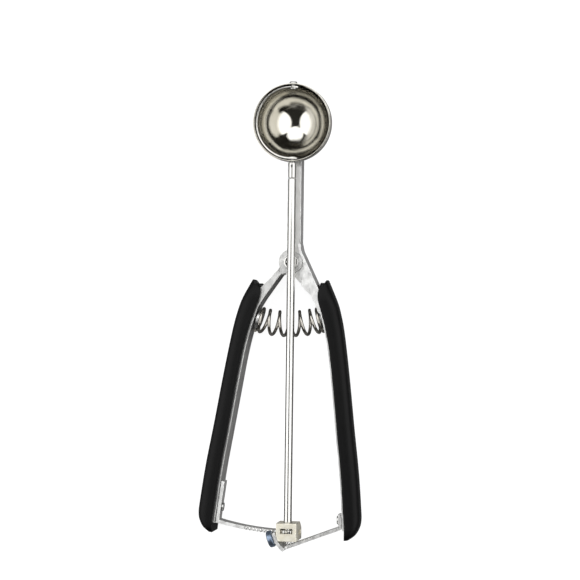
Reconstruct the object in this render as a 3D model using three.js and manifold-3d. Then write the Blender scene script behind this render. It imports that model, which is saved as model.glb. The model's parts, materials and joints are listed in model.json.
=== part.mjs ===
// Squeeze cookie scoop with a round bowl, a sweeping wiper and a rack and pinion drive.
// Millimetres. The scoop lies on a table with its bowl open upwards.
// X points to the right, Y from the handles to the bowl and Z up.
// While it is built, x and y are measured from the hinge and z from the table.
// At the end everything is moved so that the origin is the middle of the base.
import * as THREE from "three";
import { mergeVertices } from "three/addons/utils/BufferGeometryUtils.js";
import Module from "manifold-3d";

const wasm = await Module();
wasm.setup();

// Bowl
const bowlRadius = 19.6;
const bowlWall = 0.8;
const bowlLip = 4;
const bowlDistance = 69.5;
const rimRoll = 0.5;
// Wiper
const wiperWidth = 7.8;
const wiperThickness = 0.7;
const wiperPinRadius = 1.2;
const wiperPinHeadRadius = 2;
const wiperPinHeadHeight = 0.8;
// Rod
const rodRadius = 2;
const rodOffset = 0.5;
const journalRadius = 1.3;
const journalHeadRadius = 2.1;
const journalHeadHeight = 0.6;
const shankLength = 7.6;
const shankSocketDepth = 4;
const shankSlotWidth = 0.9;
// Sheet metal frames
const sheet = 1.2;
const channelBack = 2.4;
const rodToChannel = 0.4;
const neckInset = 2.6;
const neckWidth = 7;
const neckOffset = 0.4;
const handleLength = 134;
const handleSpread = 27.6;
const openAngleDegrees = 4.1;
const flangeWidth = 5;
const flangeTopWidth = 2.7;
const earShare = 0.232;
const hingePlateShare = 0.203;
// Hinge rivet
const rivetRadius = 2.2;
const rivetHeadRadius = 3.7;
const rivetHeadHeight = 0.7;
// Grips
const gripWidth = 8.4;
const gripCover = 2.2;
const gripReveal = 0.9;
// Spring
const springInset = 1.4;
const springWireRadius = 0.8;
const springMiddlePitch = 5.2;
const springEndGap = 0.6;
const springSeatShare = 0.213;
const springStandoff = 0.6;
const studClearance = 0.6;
const studStandoff = 0.7;
const studLength = 2.4;
const studShankRadius = 1;
const studHeadRadius = 1.9;
const studHeadHeight = 0.6;
// Rack, pinion and their housing
const gearModule = 0.6;
const pinionTeeth = 10;
const pinionLength = 3;
const rackInset = 1.3;
const rackTeeth = 13;
const armThickness = 1.6;
const rackDepth = 8.1;
const rackBacklash = 0.2;
const toothRootGap = 0.24;
const housingWidth = 10.2;
const housingLength = 9;
const housingLead = 5.3;
const housingRise = 5.4;
const housingDepth = 18.4;
const housingTaper = 5.4;
const taperLength = 3.4;
const windowWidth = 6.4;
const windowLength = 2.6;
const windowRise = 1.3;
const tunnelFloor = 1.5;
const tunnelGap = 0.45;
const pinRadius = 0.5;
// Arms and their fasteners
const rackTabLength = 20;
const rackRivetRise = 6.8;
const stayTabLength = 7;
const stayRivetRise = 3.9;
const stayDepth = 7.5;
const stayCornerReach = 1.9;
const stayCornerDrop = 4.2;
const stayKneeDrop = 0.6;
const lugRise = 4.8;
const lugLowLength = 2.85;
const lugLength = 4.8;
const lugDegrees = 19;
const cornerCutReach = 4.7;
const cornerCutRise = 1.7;
const armRivetRadius = 1.2;
const armRivetHeadRadius = 2.2;
const armRivetHeadHeight = 0.7;
const screwHeadRadius = 4.2;
const screwHeadThickness = 2.8;
const screwRadius = 1.2;
const screwDepth = 0.5;
const screwHoleDepth = 1.5;
const screwRise = 2.3;
const screwAboveRod = 1.9;
const clipHeight = 0.8;
const clipMouth = 2.1;
// Clearances
const gap = 0.3;
const cut = 1;
const weldDistance = 0.0001;

// Heights and places that follow from the sizes above
const rodHeight = bowlRadius;
const channelFront = rodHeight - rodRadius - rodToChannel;
const neckBack = channelBack + neckInset;
const neckFront = channelFront - neckInset;
const frameMiddle = (channelBack + channelFront) / 2;
const springCoilRadius = (channelFront - channelBack) / 2 - springInset;
const studRadius = springCoilRadius - springWireRadius - studClearance;
const gripDepth = channelFront + gripCover;
const innerRadius = bowlRadius - bowlWall;
const bowlSeatRadius = bowlRadius + gap;
const neckCentre = rodOffset + neckOffset;
const neckLeft = neckCentre - neckWidth / 2;
const neckRight = neckCentre + neckWidth / 2;
const earRadius = earShare * handleSpread;
const hingePlateRadius = hingePlateShare * handleSpread;
const earFront = neckFront + gap;
const earBack = neckBack - gap;
const openAngle = THREE.MathUtils.degToRad(openAngleDegrees);
const pitchRadius = gearModule * pinionTeeth / 2;
const circularPitch = Math.PI * gearModule;
const rackRadius = Math.hypot(handleLength, handleSpread) - rackInset;
const rackPitchHeight = rodHeight - pitchRadius;
const rackBack = rackPitchHeight - rackDepth;
const rackRivetHeight = rackBack + armRivetHeadRadius + armThickness;
const stayFront = channelFront - gap;
const stayBack = stayFront - stayDepth;
const stayRivetHeight = (stayBack + stayFront) / 2;
const lugFront = rodHeight + lugRise;
const lugAngle = THREE.MathUtils.degToRad(lugDegrees);
const screwHeight = rodHeight + screwAboveRod;
const housingTop = -rackRadius + housingLead;
const housingFoot = housingTop - housingLength;
const pinionTop = -rackRadius + pinionLength / 2;
const pinionFoot = pinionTop - pinionLength;

// Colours of the finishes
const polished = { color: 0xd8d6d0, roughness: 0.12, metalness: 1 };
const satin = { color: 0xcfcfcd, roughness: 0.28, metalness: 1 };
const cast = { color: 0xd9d2bd, roughness: 0.34, metalness: 1 };
const blued = { color: 0x5c6f8c, roughness: 0.38, metalness: 0.9 };
const springSteel = { color: 0x9d968a, roughness: 0.3, metalness: 1 };
const blackRubber = { color: 0x17181a, roughness: 0.72, metalness: 0 };

// Solids: a closed three.js geometry becomes a body that can be cut and joined
function solidOf(geometry) {
  const bare = geometry.index ? geometry.toNonIndexed() : geometry.clone();
  bare.deleteAttribute("normal");
  bare.deleteAttribute("uv");
  const welded = mergeVertices(bare, weldDistance);
  const index = Array.from(welded.index.array);
  const kept = [];
  for (let i = 0; i < index.length; i += 3) {
    const [a, b, c] = index.slice(i, i + 3);
    if (a !== b && b !== c && c !== a) {
      kept.push(a, b, c);
    }
  }
  return new wasm.Manifold(new wasm.Mesh({
    numProp: 3,
    vertProperties: new Float32Array(welded.attributes.position.array),
    triVerts: new Uint32Array(kept),
  }));
}

function geometryOf(solid) {
  const mesh = solid.getMesh();
  const geometry = new THREE.BufferGeometry();
  geometry.setAttribute("position", new THREE.BufferAttribute(new Float32Array(mesh.vertProperties), 3));
  geometry.setIndex(new THREE.BufferAttribute(new Uint32Array(mesh.triVerts), 1));
  geometry.computeVertexNormals();
  return geometry;
}

function piece(name, solid, finish) {
  const mesh = new THREE.Mesh(geometryOf(solid), new THREE.MeshStandardMaterial(finish));
  mesh.name = name;
  return mesh;
}

function join(...solids) {
  return solids.reduce((whole, next) => whole.add(next));
}

function vectors(points) {
  return points.map(([x, y]) => new THREE.Vector2(x, y));
}

// A plate drawn in X and Y, between two heights
function plate(points, low, high) {
  const shape = new THREE.Shape(points);
  const geometry = new THREE.ExtrudeGeometry(shape, { depth: high - low, bevelEnabled: false });
  geometry.translate(0, 0, low);
  return solidOf(geometry);
}

// A block drawn in Y and Z, between two places along X
function blockAlongX(points, low, high) {
  const shape = new THREE.Shape(points);
  const geometry = new THREE.ExtrudeGeometry(shape, { depth: high - low, bevelEnabled: false });
  geometry.translate(0, 0, low);
  geometry.applyMatrix4(new THREE.Matrix4().set(0, 0, 1, 0, 1, 0, 0, 0, 0, 1, 0, 0, 0, 0, 0, 1));
  return solidOf(geometry);
}

// A block drawn in X and Z, between two places along Y
function blockAlongY(points, low, high) {
  const shape = new THREE.Shape(points);
  const geometry = new THREE.ExtrudeGeometry(shape, { depth: high - low, bevelEnabled: false });
  geometry.rotateX(Math.PI / 2);
  geometry.translate(0, high, 0);
  return solidOf(geometry);
}

function rectangle(left, right, low, high) {
  return vectors([[left, low], [right, low], [right, high], [left, high]]);
}

function circle(radius, sides, x = 0, y = 0) {
  const points = [];
  for (let i = 0; i < sides; i += 1) {
    const turn = 2 * Math.PI * i / sides;
    points.push(new THREE.Vector2(x + radius * Math.cos(turn), y + radius * Math.sin(turn)));
  }
  return points;
}

function discZ(radius, low, high, sides) {
  return plate(circle(radius, sides), low, high);
}

function barY(radius, low, high, sides) {
  const geometry = new THREE.CylinderGeometry(radius, radius, high - low, sides);
  geometry.translate(0, (low + high) / 2, 0);
  return solidOf(geometry);
}

// A turned body on the Y axis from radius and height pairs
function turnedY(points, sides) {
  return solidOf(new THREE.LatheGeometry(vectors(points), sides));
}

// A bar along a direction in the XY plane, at one height
function barToward(radius, start, direction, from, to, height, sides) {
  const geometry = new THREE.CylinderGeometry(radius, radius, to - from, sides);
  geometry.translate(0, (from + to) / 2, 0);
  geometry.rotateZ(Math.atan2(-direction.x, direction.y));
  geometry.translate(start.x, start.y, height);
  return solidOf(geometry);
}

// The line of a leg's inner face: shares of the handle's spread and length, from hinge to foot
const runShares = [
  [0.424, 0.136], [0.529, 0.176], [0.623, 0.25], [0.699, 0.336], [0.772, 0.463],
  [0.855, 0.634], [0.935, 0.791], [0.986, 0.94], [1, 1],
];
const rightStartShares = [0.185, 0.086];
const leftStartShares = [0.163, 0.047];

function runCurve(startShares) {
  const points = [startShares, ...runShares].map(([x, y]) => (
    new THREE.Vector2(x * handleSpread, -y * handleLength)
  ));
  return new THREE.SplineCurve(points);
}

function runPoint(curve, share) {
  const point = curve.getPointAt(share);
  const tangent = curve.getTangentAt(share);
  const normal = new THREE.Vector2(-tangent.y, tangent.x);
  return { point, tangent, normal };
}

// A strip beside the run: the offsets are lengths, or functions of the share along it
function strip(curve, near, far, start, end, steps) {
  const nearSide = [];
  const farSide = [];
  for (let i = 0; i <= steps; i += 1) {
    const share = start + (end - start) * i / steps;
    const { point, normal } = runPoint(curve, share);
    const nearOffset = typeof near === "function" ? near(share) : near;
    const farOffset = typeof far === "function" ? far(share) : far;
    nearSide.push(point.clone().addScaledVector(normal, nearOffset));
    farSide.push(point.clone().addScaledVector(normal, farOffset));
  }
  return [...nearSide, ...farSide.reverse()];
}

const stripSteps = 26;
const flangeGrowthShare = 0.14;

function flangeAt(share) {
  const growth = THREE.MathUtils.smoothstep(share, 0, flangeGrowthShare);
  return THREE.MathUtils.lerp(flangeTopWidth, flangeWidth, growth);
}

// The channel of a leg: an inner web with a flange in front and one behind
function channel(curve, extra) {
  const low = channelBack - extra;
  const high = channelFront + extra;
  const web = plate(strip(curve, -extra, sheet + extra, 0, 1, stripSteps), low, high);
  const outer = (share) => flangeAt(share) + extra;
  const front = plate(strip(curve, -extra, outer, 0, 1, stripSteps), high - sheet - 2 * extra, high);
  const back = plate(strip(curve, -extra, outer, 0, 1, stripSteps), low, low + sheet + 2 * extra);
  return join(web, front, back);
}

const rightRun = runCurve(rightStartShares);
const leftRun = runCurve(leftStartShares);
const footShare = 0.99;
const rackTabShare = footShare - rackTabLength / leftRun.getLength();
const rackRivetShare = footShare - rackRivetRise / leftRun.getLength();
const stayTabShare = footShare - stayTabLength / rightRun.getLength();
const stayRivetShare = footShare - stayRivetRise / rightRun.getLength();
const curveSides = 40;

// A left leg's place is mirrored and turned about the hinge
function toLeft(place) {
  return new THREE.Vector2(-place.x, place.y).rotateAround(new THREE.Vector2(), -openAngle);
}

// The share of a run where it is as far below the hinge as the spring's axis
function seatShare(curve, placed) {
  let low = 0;
  let high = 1;
  const halvings = 24;
  for (let i = 0; i < halvings; i += 1) {
    const middle = (low + high) / 2;
    if (placed(curve.getPointAt(middle)).y > -springSeatShare * handleLength) {
      low = middle;
    } else {
      high = middle;
    }
  }
  return low;
}

const rightSeatShare = seatShare(rightRun, (place) => place);
const leftSeatShare = seatShare(leftRun, toLeft);

// A rivet through a leg's web at a share of its run, with a head on each side
function webRivet(curve, share, inner, outer, radius, headRadius, headHeight, height) {
  const { point, normal } = runPoint(curve, share);
  const sides = 20;
  const shank = barToward(radius, point, normal, inner - headHeight, outer + headHeight, height, sides);
  const innerHead = barToward(headRadius, point, normal, inner - headHeight, inner, height, sides);
  const outerHead = barToward(headRadius, point, normal, outer, outer + headHeight, height, sides);
  return join(shank, innerHead, outerHead);
}

function webHole(curve, share, radius, height) {
  const { point, normal } = runPoint(curve, share);
  return barToward(radius + gap, point, normal, -cut - armThickness, sheet + cut, height, 20);
}

function sphereAtBowl(radius) {
  const geometry = new THREE.SphereGeometry(radius, 48, 32);
  geometry.translate(rodOffset, bowlDistance, rodHeight);
  return solidOf(geometry);
}

// Right frame: neck channel, hinge plates, raised leg face, outer wall and the leg's channel
const legEdgeShares = [[0.174, 0.071], [0.192, 0.041], [0.478, -0.084]];
const recessShares = [
  [0.138, 0.067], [0.138, 0.0375], [0.184, 0.024], [0.218, 0.005], [0.243, -0.022], [0.225, -0.0485],
  [0.185, -0.086],
];
const faceFootShares = [[0.73, -0.19], [0.52, -0.19]];
const faceEndShare = 0.06;

function sharePoints(shares) {
  return shares.map(([x, y]) => new THREE.Vector2(x * handleSpread, y * handleLength));
}

function offsetLine(points, distance) {
  return points.map((point, i) => {
    const before = points[Math.max(i - 1, 0)];
    const after = points[Math.min(i + 1, points.length - 1)];
    const along = after.clone().sub(before).normalize();
    return point.clone().addScaledVector(new THREE.Vector2(-along.y, along.x), distance);
  });
}

function thickLine(points, thickness) {
  return counterclockwise([...points, ...offsetLine(points, thickness).reverse()]);
}

function counterclockwise(points) {
  return THREE.ShapeUtils.area(points) < 0 ? [...points].reverse() : points;
}

function makeRightFrame() {
  const neckTop = bowlDistance - bowlRadius / 2;
  const neckFoot = earRadius + 2 * gap;
  const web = plate(rectangle(neckLeft, neckRight, 0, neckTop), neckFront - sheet, neckFront);
  const leftWall = plate(rectangle(neckLeft, neckLeft + sheet, neckFoot, neckTop), neckBack, neckFront);
  const edge = sharePoints(legEdgeShares);
  const shoulder = new THREE.Vector2(neckRight, edge[0].y);
  const rightWall = plate(rectangle(neckRight - sheet, neckRight, shoulder.y - sheet, neckTop),
    neckBack, neckFront);
  const legWall = plate(thickLine([shoulder, ...edge.slice(1)], -sheet), neckBack, channelFront);
  const recess = sharePoints(recessShares);
  const foot = sharePoints(faceFootShares);
  const faceEnd = runPoint(rightRun, faceEndShare).point;
  const faceOutline = [shoulder, ...recess, faceEnd, foot[1], foot[0], edge[2], edge[1]];
  const face = plate(counterclockwise(faceOutline), channelFront - sheet, channelFront);
  const step = plate(thickLine(recess, sheet), neckFront - sheet, channelFront);
  const hingeFront = discZ(hingePlateRadius, neckFront - sheet, neckFront, curveSides);
  const lowerOutline = [
    new THREE.Vector2(neckRight, edge[0].y), ...offsetLine(recess, sheet / 2).slice(1),
    new THREE.Vector2(0, -hingePlateRadius), new THREE.Vector2(-hingePlateRadius, 0),
    new THREE.Vector2(neckLeft, hingePlateRadius), new THREE.Vector2(neckLeft, edge[0].y),
  ];
  const lowerFace = plate(counterclockwise(lowerOutline), neckFront - sheet, neckFront);
  const hingeBack = discZ(hingePlateRadius, neckBack, neckBack + sheet, curveSides);
  const backOutline = [
    new THREE.Vector2(0, hingePlateRadius), edge[1], edge[2], foot[0], foot[1],
    faceEnd, recess[recess.length - 1], new THREE.Vector2(0, -hingePlateRadius),
  ];
  const backFace = plate(counterclockwise(backOutline), neckBack, neckBack + sheet);
  const holes = join(
    discZ(rivetRadius + gap, 0, channelFront + cut, curveSides),
    webHole(rightRun, stayRivetShare, armRivetRadius, stayRivetHeight),
    webHole(rightRun, rightSeatShare, studShankRadius, frameMiddle),
  );
  return join(web, leftWall, rightWall, legWall, face, step, hingeFront, lowerFace, hingeBack, backFace,
    channel(rightRun, 0)).subtract(holes).subtract(sphereAtBowl(bowlSeatRadius));
}

// The ear is smaller on the side that turns beside the right frame's wall
function earDisc(low, high) {
  const side = plate(rectangle(-gap, earRadius + cut, -earRadius - cut, earRadius + cut),
    low - cut, high + cut);
  return join(discZ(hingePlateRadius, low, high, curveSides),
    discZ(earRadius, low, high, curveSides).intersect(side));
}

// Left frame, drawn as a right leg and mirrored when it is placed
function makeLeftFrame() {
  const { point, tangent, normal } = runPoint(leftRun, 0);
  const inner = point.clone().addScaledVector(tangent, sheet);
  const outer = inner.clone().addScaledVector(normal, flangeTopWidth);
  const across = new THREE.Vector2(-point.y, point.x).normalize().multiplyScalar(earRadius / 2);
  const bridge = counterclockwise([across, outer, inner, across.clone().negate()]);
  const joggle = strip(leftRun, 0, flangeTopWidth, 0, 2 * sheet / leftRun.getLength(), 3);
  const frontEar = join(
    earDisc(earFront, earFront + sheet),
    plate(bridge, earFront, earFront + sheet),
    plate(joggle, earFront, channelFront),
  );
  const backEar = join(
    earDisc(earBack - sheet, earBack),
    plate(bridge, earBack - sheet, earBack),
    plate(joggle, channelBack, earBack),
  );
  const holes = join(
    discZ(rivetRadius + gap, 0, channelFront + cut, curveSides),
    webHole(leftRun, rackRivetShare, armRivetRadius, rackRivetHeight),
    webHole(leftRun, leftSeatShare, studShankRadius, frameMiddle),
  );
  return join(channel(leftRun, 0), frontEar, backEar).subtract(holes);
}

function makeHingeRivet() {
  const front = earFront + sheet + gap;
  const back = earBack - sheet - gap;
  return join(
    discZ(rivetRadius, back - rivetHeadHeight, front + rivetHeadHeight, curveSides),
    discZ(rivetHeadRadius, front, front + rivetHeadHeight, curveSides),
    discZ(rivetHeadRadius, back - rivetHeadHeight, back, curveSides),
  );
}

// Grips: rounded sections between an inner and an outer edge, from the hinge end to the foot.
// Each row: inner edge across and along, width, rise of the outer edge, and depth, all as shares.
const gripShares = [
  [0.471, 0.112, 0.833, 0.06, 0.94], [0.478, 0.142, 1.048, 0, 1], [0.529, 0.179, 1.06, 0.06, 1],
  [0.623, 0.25, 0.976, 0.18, 1], [0.699, 0.336, 0.93, 0.12, 1], [0.772, 0.463, 0.93, 0.12, 1],
  [0.855, 0.634, 0.95, 0.12, 1], [0.935, 0.791, 0.976, 0.12, 1], [0.986, 0.94, 0.99, 0.2, 1],
  [1, 0.978, 0.955, 0.16, 1], [1.003, 1.002, 0.85, 0.14, 1], [1.002, 1.022, 0.62, 0.07, 0.96],
  [0.998, 1.036, 0.27, 0.02, 0.84],
];
// The hinge end differs: its first row, and its notch as a share across and a depth below the tip
const rightGripTop = [0.518, 0.077, 0.36, 0.18, 0.8];
const leftGripTop = [0.522, 0.0905, 0.43, 0.23, 0.8];
const rightNotch = { across: 0.42, depth: 1.3 };
const leftNotch = { across: 0.53, depth: 0.3 };
const notchTipWidth = 0.3;
// Section of a grip: across from its inner edge, and up from its back. It is fullest near the front.
const gripSectionShares = [
  [0, 0.05], [0.06, 0], [0.5, 0], [0.77, 0.05], [0.89, 0.17], [0.95, 0.38], [0.99, 0.6],
  [1, 0.77], [0.93, 0.9], [0.74, 0.975], [0.45, 1], [0.06, 1], [0, 0.95],
];
const gripStepsPerRow = 2;

function loft(rings) {
  const sides = rings[0].length;
  const positions = rings.flat().flatMap((point) => [point.x, point.y, point.z]);
  const index = [];
  for (let r = 0; r + 1 < rings.length; r += 1) {
    for (let s = 0; s < sides; s += 1) {
      const next = (s + 1) % sides;
      const [a, b] = [r * sides + s, r * sides + next];
      const [c, d] = [a + sides, b + sides];
      index.push(a, b, d, a, d, c);
    }
  }
  const last = (rings.length - 1) * sides;
  for (let s = 1; s + 1 < sides; s += 1) {
    index.push(0, s + 1, s);
    index.push(last, last + s, last + s + 1);
  }
  const geometry = new THREE.BufferGeometry();
  geometry.setAttribute("position", new THREE.BufferAttribute(new Float32Array(positions), 3));
  geometry.setIndex(index);
  return geometry;
}

function gripRow(shares, at) {
  const low = Math.min(Math.floor(at), shares.length - 2);
  const rows = [low - 1, low, low + 1, low + 2].map((i) => (
    shares[THREE.MathUtils.clamp(i, 0, shares.length - 1)]
  ));
  const t = at - low;
  return rows[1].map((value, k) => {
    const [before, here, next, after] = rows.map((row) => row[k]);
    const slopeHere = (next - before) / 2;
    const slopeNext = (after - here) / 2;
    const square = t * t;
    const cube = square * t;
    return (2 * cube - 3 * square + 1) * here + (cube - 2 * square + t) * slopeHere
      + (3 * square - 2 * cube) * next + (cube - square) * slopeNext;
  });
}

function gripBody(topShares) {
  const rings = [];
  const shares = [topShares, ...gripShares];
  const count = (shares.length - 1) * gripStepsPerRow;
  for (let i = 0; i <= count; i += 1) {
    const [across, along, width, rise, depth] = gripRow(shares, i / gripStepsPerRow);
    const inner = new THREE.Vector2(across * handleSpread + gripReveal, -along * handleLength);
    const outer = inner.clone().add(new THREE.Vector2(width * gripWidth, rise * gripWidth));
    const height = gripDepth * Math.min(depth, 1);
    const base = (gripDepth - height) / 2;
    rings.push(gripSectionShares.map(([u, v]) => {
      const flat = inner.clone().lerp(outer, u);
      return new THREE.Vector3(flat.x, flat.y, base + v * height);
    }));
  }
  return solidOf(loft(rings));
}

// The pocket round a rivet's outer head inside the grip
function headPocket(curve, share, headRadius, headHeight, height) {
  const { point, normal } = runPoint(curve, share);
  return barToward(headRadius + gap, point, normal, 0, sheet + headHeight + 2 * gap, height, 16);
}

// Room for a plate: its outline moved a gap each way
function roomFor(points, low, high) {
  const moves = [[gap, gap], [-gap, gap], [gap, -gap], [-gap, -gap]];
  return join(...moves.map(([x, y]) => {
    const moved = points.map((point) => new THREE.Vector2(point.x + x, point.y + y));
    return plate(counterclockwise(moved), low - gap, high + gap);
  }));
}

// The notch across a grip's hinge end leaves a tip on each side
function gripNotch([across, along, width, rise], { across: notchAcross, depth }) {
  const inner = new THREE.Vector2(across * handleSpread + gripReveal, -along * handleLength);
  const outer = inner.clone().add(new THREE.Vector2(width * gripWidth, rise * gripWidth));
  const tipShare = notchTipWidth / (outer.x - inner.x);
  const innerTip = inner.clone().lerp(outer, tipShare);
  const outerTip = inner.clone().lerp(outer, 1 - tipShare);
  return plate(vectors([
    [innerTip.x, innerTip.y + cut], [innerTip.x, innerTip.y],
    [inner.x + notchAcross * (outer.x - inner.x), inner.y - depth],
    [outerTip.x, outerTip.y], [outerTip.x, outerTip.y + cut],
  ]), -cut, gripDepth + cut);
}

function makeGrip(curve, topShares, notch, rivetShare, rivetHeight, springShare) {
  const pockets = join(
    headPocket(curve, rivetShare, armRivetHeadRadius, armRivetHeadHeight, rivetHeight),
    headPocket(curve, springShare, studHeadRadius, studHeadHeight, frameMiddle),
  );
  const edge = sharePoints(legEdgeShares);
  const foot = sharePoints(faceFootShares);
  const legRoom = roomFor([edge[1], edge[2], foot[0], foot[1], runPoint(rightRun, faceEndShare).point],
    channelBack, channelFront);
  return gripBody(topShares).subtract(channel(curve, gap)).subtract(gripNotch(topShares, notch))
    .subtract(pockets).subtract(legRoom);
}

// Bowl: a half sphere with a straight lip and a rounded rim, and holes for the wiper's pivots
const bowlSides = 60;
const bowlRings = 12;

function makeBowl() {
  const outer = [];
  const inner = [];
  for (let i = 0; i <= bowlRings; i += 1) {
    const angle = Math.PI / 2 * i / bowlRings;
    outer.push([bowlRadius * Math.sin(angle), -bowlRadius * Math.cos(angle)]);
    inner.push([innerRadius * Math.sin(angle), -innerRadius * Math.cos(angle)]);
  }
  outer[0][0] = 0;
  inner[0][0] = 0;
  const rim = [];
  const rimSteps = 4;
  const rimCentre = (bowlRadius + innerRadius) / 2;
  const rimHalf = bowlWall / 2;
  for (let i = 0; i <= rimSteps; i += 1) {
    const angle = Math.PI * i / rimSteps;
    rim.push([rimCentre + rimHalf * Math.cos(angle), bowlLip - rimRoll + rimRoll * Math.sin(angle)]);
  }
  const geometry = new THREE.LatheGeometry(vectors([...outer, ...rim, ...inner.reverse()]), bowlSides);
  geometry.rotateX(Math.PI / 2);
  const cup = solidOf(geometry);
  const pinHole = barY(wiperPinRadius + gap, innerRadius - cut, bowlRadius + cut, 24);
  const shankHole = barY(journalRadius + gap, -bowlRadius - cut, -innerRadius + cut, 24);
  return cup.subtract(pinHole).subtract(shankHole);
}

// Wiper: half a ring of a thin sphere, with a round hub at each end, lying along the left wall
const wiperOuter = innerRadius - gap;
const wiperInner = wiperOuter - wiperThickness;
const wiperRestDegrees = 4;
const wiperSides = 48;

function makeWiper() {
  const outside = solidOf(new THREE.SphereGeometry(wiperOuter, wiperSides, wiperSides / 2));
  const inside = solidOf(new THREE.SphereGeometry(wiperInner, wiperSides, wiperSides / 2));
  const half = wiperWidth / 2;
  const reach = wiperOuter + cut;
  const band = plate(rectangle(-reach, 0, -reach, reach), -half, half);
  const hubs = barY(half, -reach, reach, 32);
  const holes = join(
    barY(wiperPinRadius + gap, 0, reach, 20),
    barY(journalRadius + gap, -reach, 0, 20),
  );
  return outside.subtract(inside).intersect(join(band, hubs)).subtract(holes);
}

function makeWiperPin() {
  const headStart = bowlRadius + gap;
  const innerEnd = wiperInner - gap;
  return turnedY([
    [0, innerEnd - journalHeadHeight], [wiperPinHeadRadius, innerEnd - journalHeadHeight],
    [wiperPinHeadRadius, innerEnd], [wiperPinRadius, innerEnd], [wiperPinRadius, headStart],
    [wiperPinHeadRadius, headStart], [wiperPinHeadRadius, headStart + wiperPinHeadHeight / 2],
    [wiperPinHeadRadius - wiperPinHeadHeight / 2, headStart + wiperPinHeadHeight],
    [0, headStart + wiperPinHeadHeight],
  ], 24);
}

// Shank: the slotted end that carries the wiper's near hub and holds the rod
const shankTop = bowlDistance - bowlRadius - gap;
const shankFoot = shankTop - shankLength;

function makeShank() {
  const hubInside = bowlDistance - wiperInner + gap;
  const body = turnedY([
    [0, shankFoot], [rodRadius, shankFoot], [rodRadius, shankTop], [journalRadius, shankTop],
    [journalRadius, hubInside], [journalHeadRadius, hubInside],
    [journalHeadRadius, hubInside + journalHeadHeight], [0, hubInside + journalHeadHeight],
  ], 24);
  const socket = barY(rodRadius / 2 + gap, shankFoot - cut, shankFoot + shankSocketDepth, 16);
  const slotOutline = rectangle(-shankSlotWidth / 2, shankSlotWidth / 2,
    shankFoot + shankSocketDepth + sheet, shankTop - sheet);
  const slot = plate(slotOutline, rodRadius / 2, rodRadius + cut);
  return body.subtract(socket).subtract(slot);
}

// Rod: spigot into the shank, long plain length, and the journal that carries the pinion

function makeRod() {
  const top = shankFoot - gap;
  const shoulder = pinionTop + gap;
  const end = housingFoot - gap;
  return turnedY([
    [0, end - clipHeight - 2 * gap], [journalRadius, end - clipHeight - 2 * gap], [journalRadius, shoulder],
    [rodRadius, shoulder], [rodRadius, top], [rodRadius / 2, top],
    [rodRadius / 2, top + shankSocketDepth - gap], [0, top + shankSocketDepth - gap],
  ], 32).subtract(pinHoleAcross());
}

function pinHoleAcross() {
  const reach = pitchRadius + gearModule + cut;
  return crossPin(pinRadius + gap, reach);
}

// The cross pin lies on a line between two teeth, tilted with the rod
function crossPin(radius, reach) {
  const geometry = new THREE.CylinderGeometry(radius, radius, 2 * reach, 12);
  geometry.rotateX(Math.PI / 2);
  geometry.rotateY(Math.PI / pinionTeeth);
  geometry.translate(0, -rackRadius, 0);
  return solidOf(geometry);
}

// Pinion: involute flanks by formula, on the Y axis
const pressureAngle = THREE.MathUtils.degToRad(20);
const pinionTip = pitchRadius + gearModule;
const rackAddendumShare = 0.6;
const rackAddendum = rackAddendumShare * gearModule;
const pinionRoot = pitchRadius - rackAddendum - toothRootGap;
const flankSteps = 4;

function involute(angle) {
  return Math.tan(angle) - angle;
}

function pinionOutline() {
  const base = pitchRadius * Math.cos(pressureAngle);
  const halfTooth = (circularPitch / 2 - rackBacklash) / (2 * pitchRadius);
  const halfAt = (radius) => {
    const angle = Math.acos(Math.min(base / Math.max(radius, base), 1));
    return halfTooth + involute(pressureAngle) - involute(angle);
  };
  const points = [];
  for (let tooth = 0; tooth < pinionTeeth; tooth += 1) {
    const centre = 2 * Math.PI * tooth / pinionTeeth - Math.PI / 2;
    const flank = [];
    for (let i = 0; i <= flankSteps; i += 1) {
      const radius = pinionRoot + (pinionTip - pinionRoot) * i / flankSteps;
      flank.push([radius, halfAt(radius)]);
    }
    flank.forEach(([radius, half]) => points.push([radius, centre - half]));
    [...flank].reverse().forEach(([radius, half]) => points.push([radius, centre + half]));
  }
  return points.map(([radius, angle]) => (
    new THREE.Vector2(radius * Math.cos(angle), radius * Math.sin(angle))
  ));
}

function makePinion() {
  const gear = blockAlongY(pinionOutline(), pinionFoot, pinionTop);
  const bore = barY(journalRadius + gap, pinionFoot - cut, pinionTop + cut, 24);
  return gear.subtract(bore).subtract(pinHoleAcross());
}

function makePinionPin() {
  return crossPin(pinRadius, pinionRoot);
}

function makeRodClip() {
  const top = housingFoot - gap;
  const ring = barY(rodRadius + gap, top - clipHeight, top, 24);
  const bore = barY(journalRadius + gap, top - clipHeight - cut, top + cut, 24);
  const mouth = plate(rectangle(-clipMouth / 2, clipMouth / 2, top - clipHeight - cut, top + cut),
    0, rodRadius + cut);
  return ring.subtract(bore).subtract(mouth);
}

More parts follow.
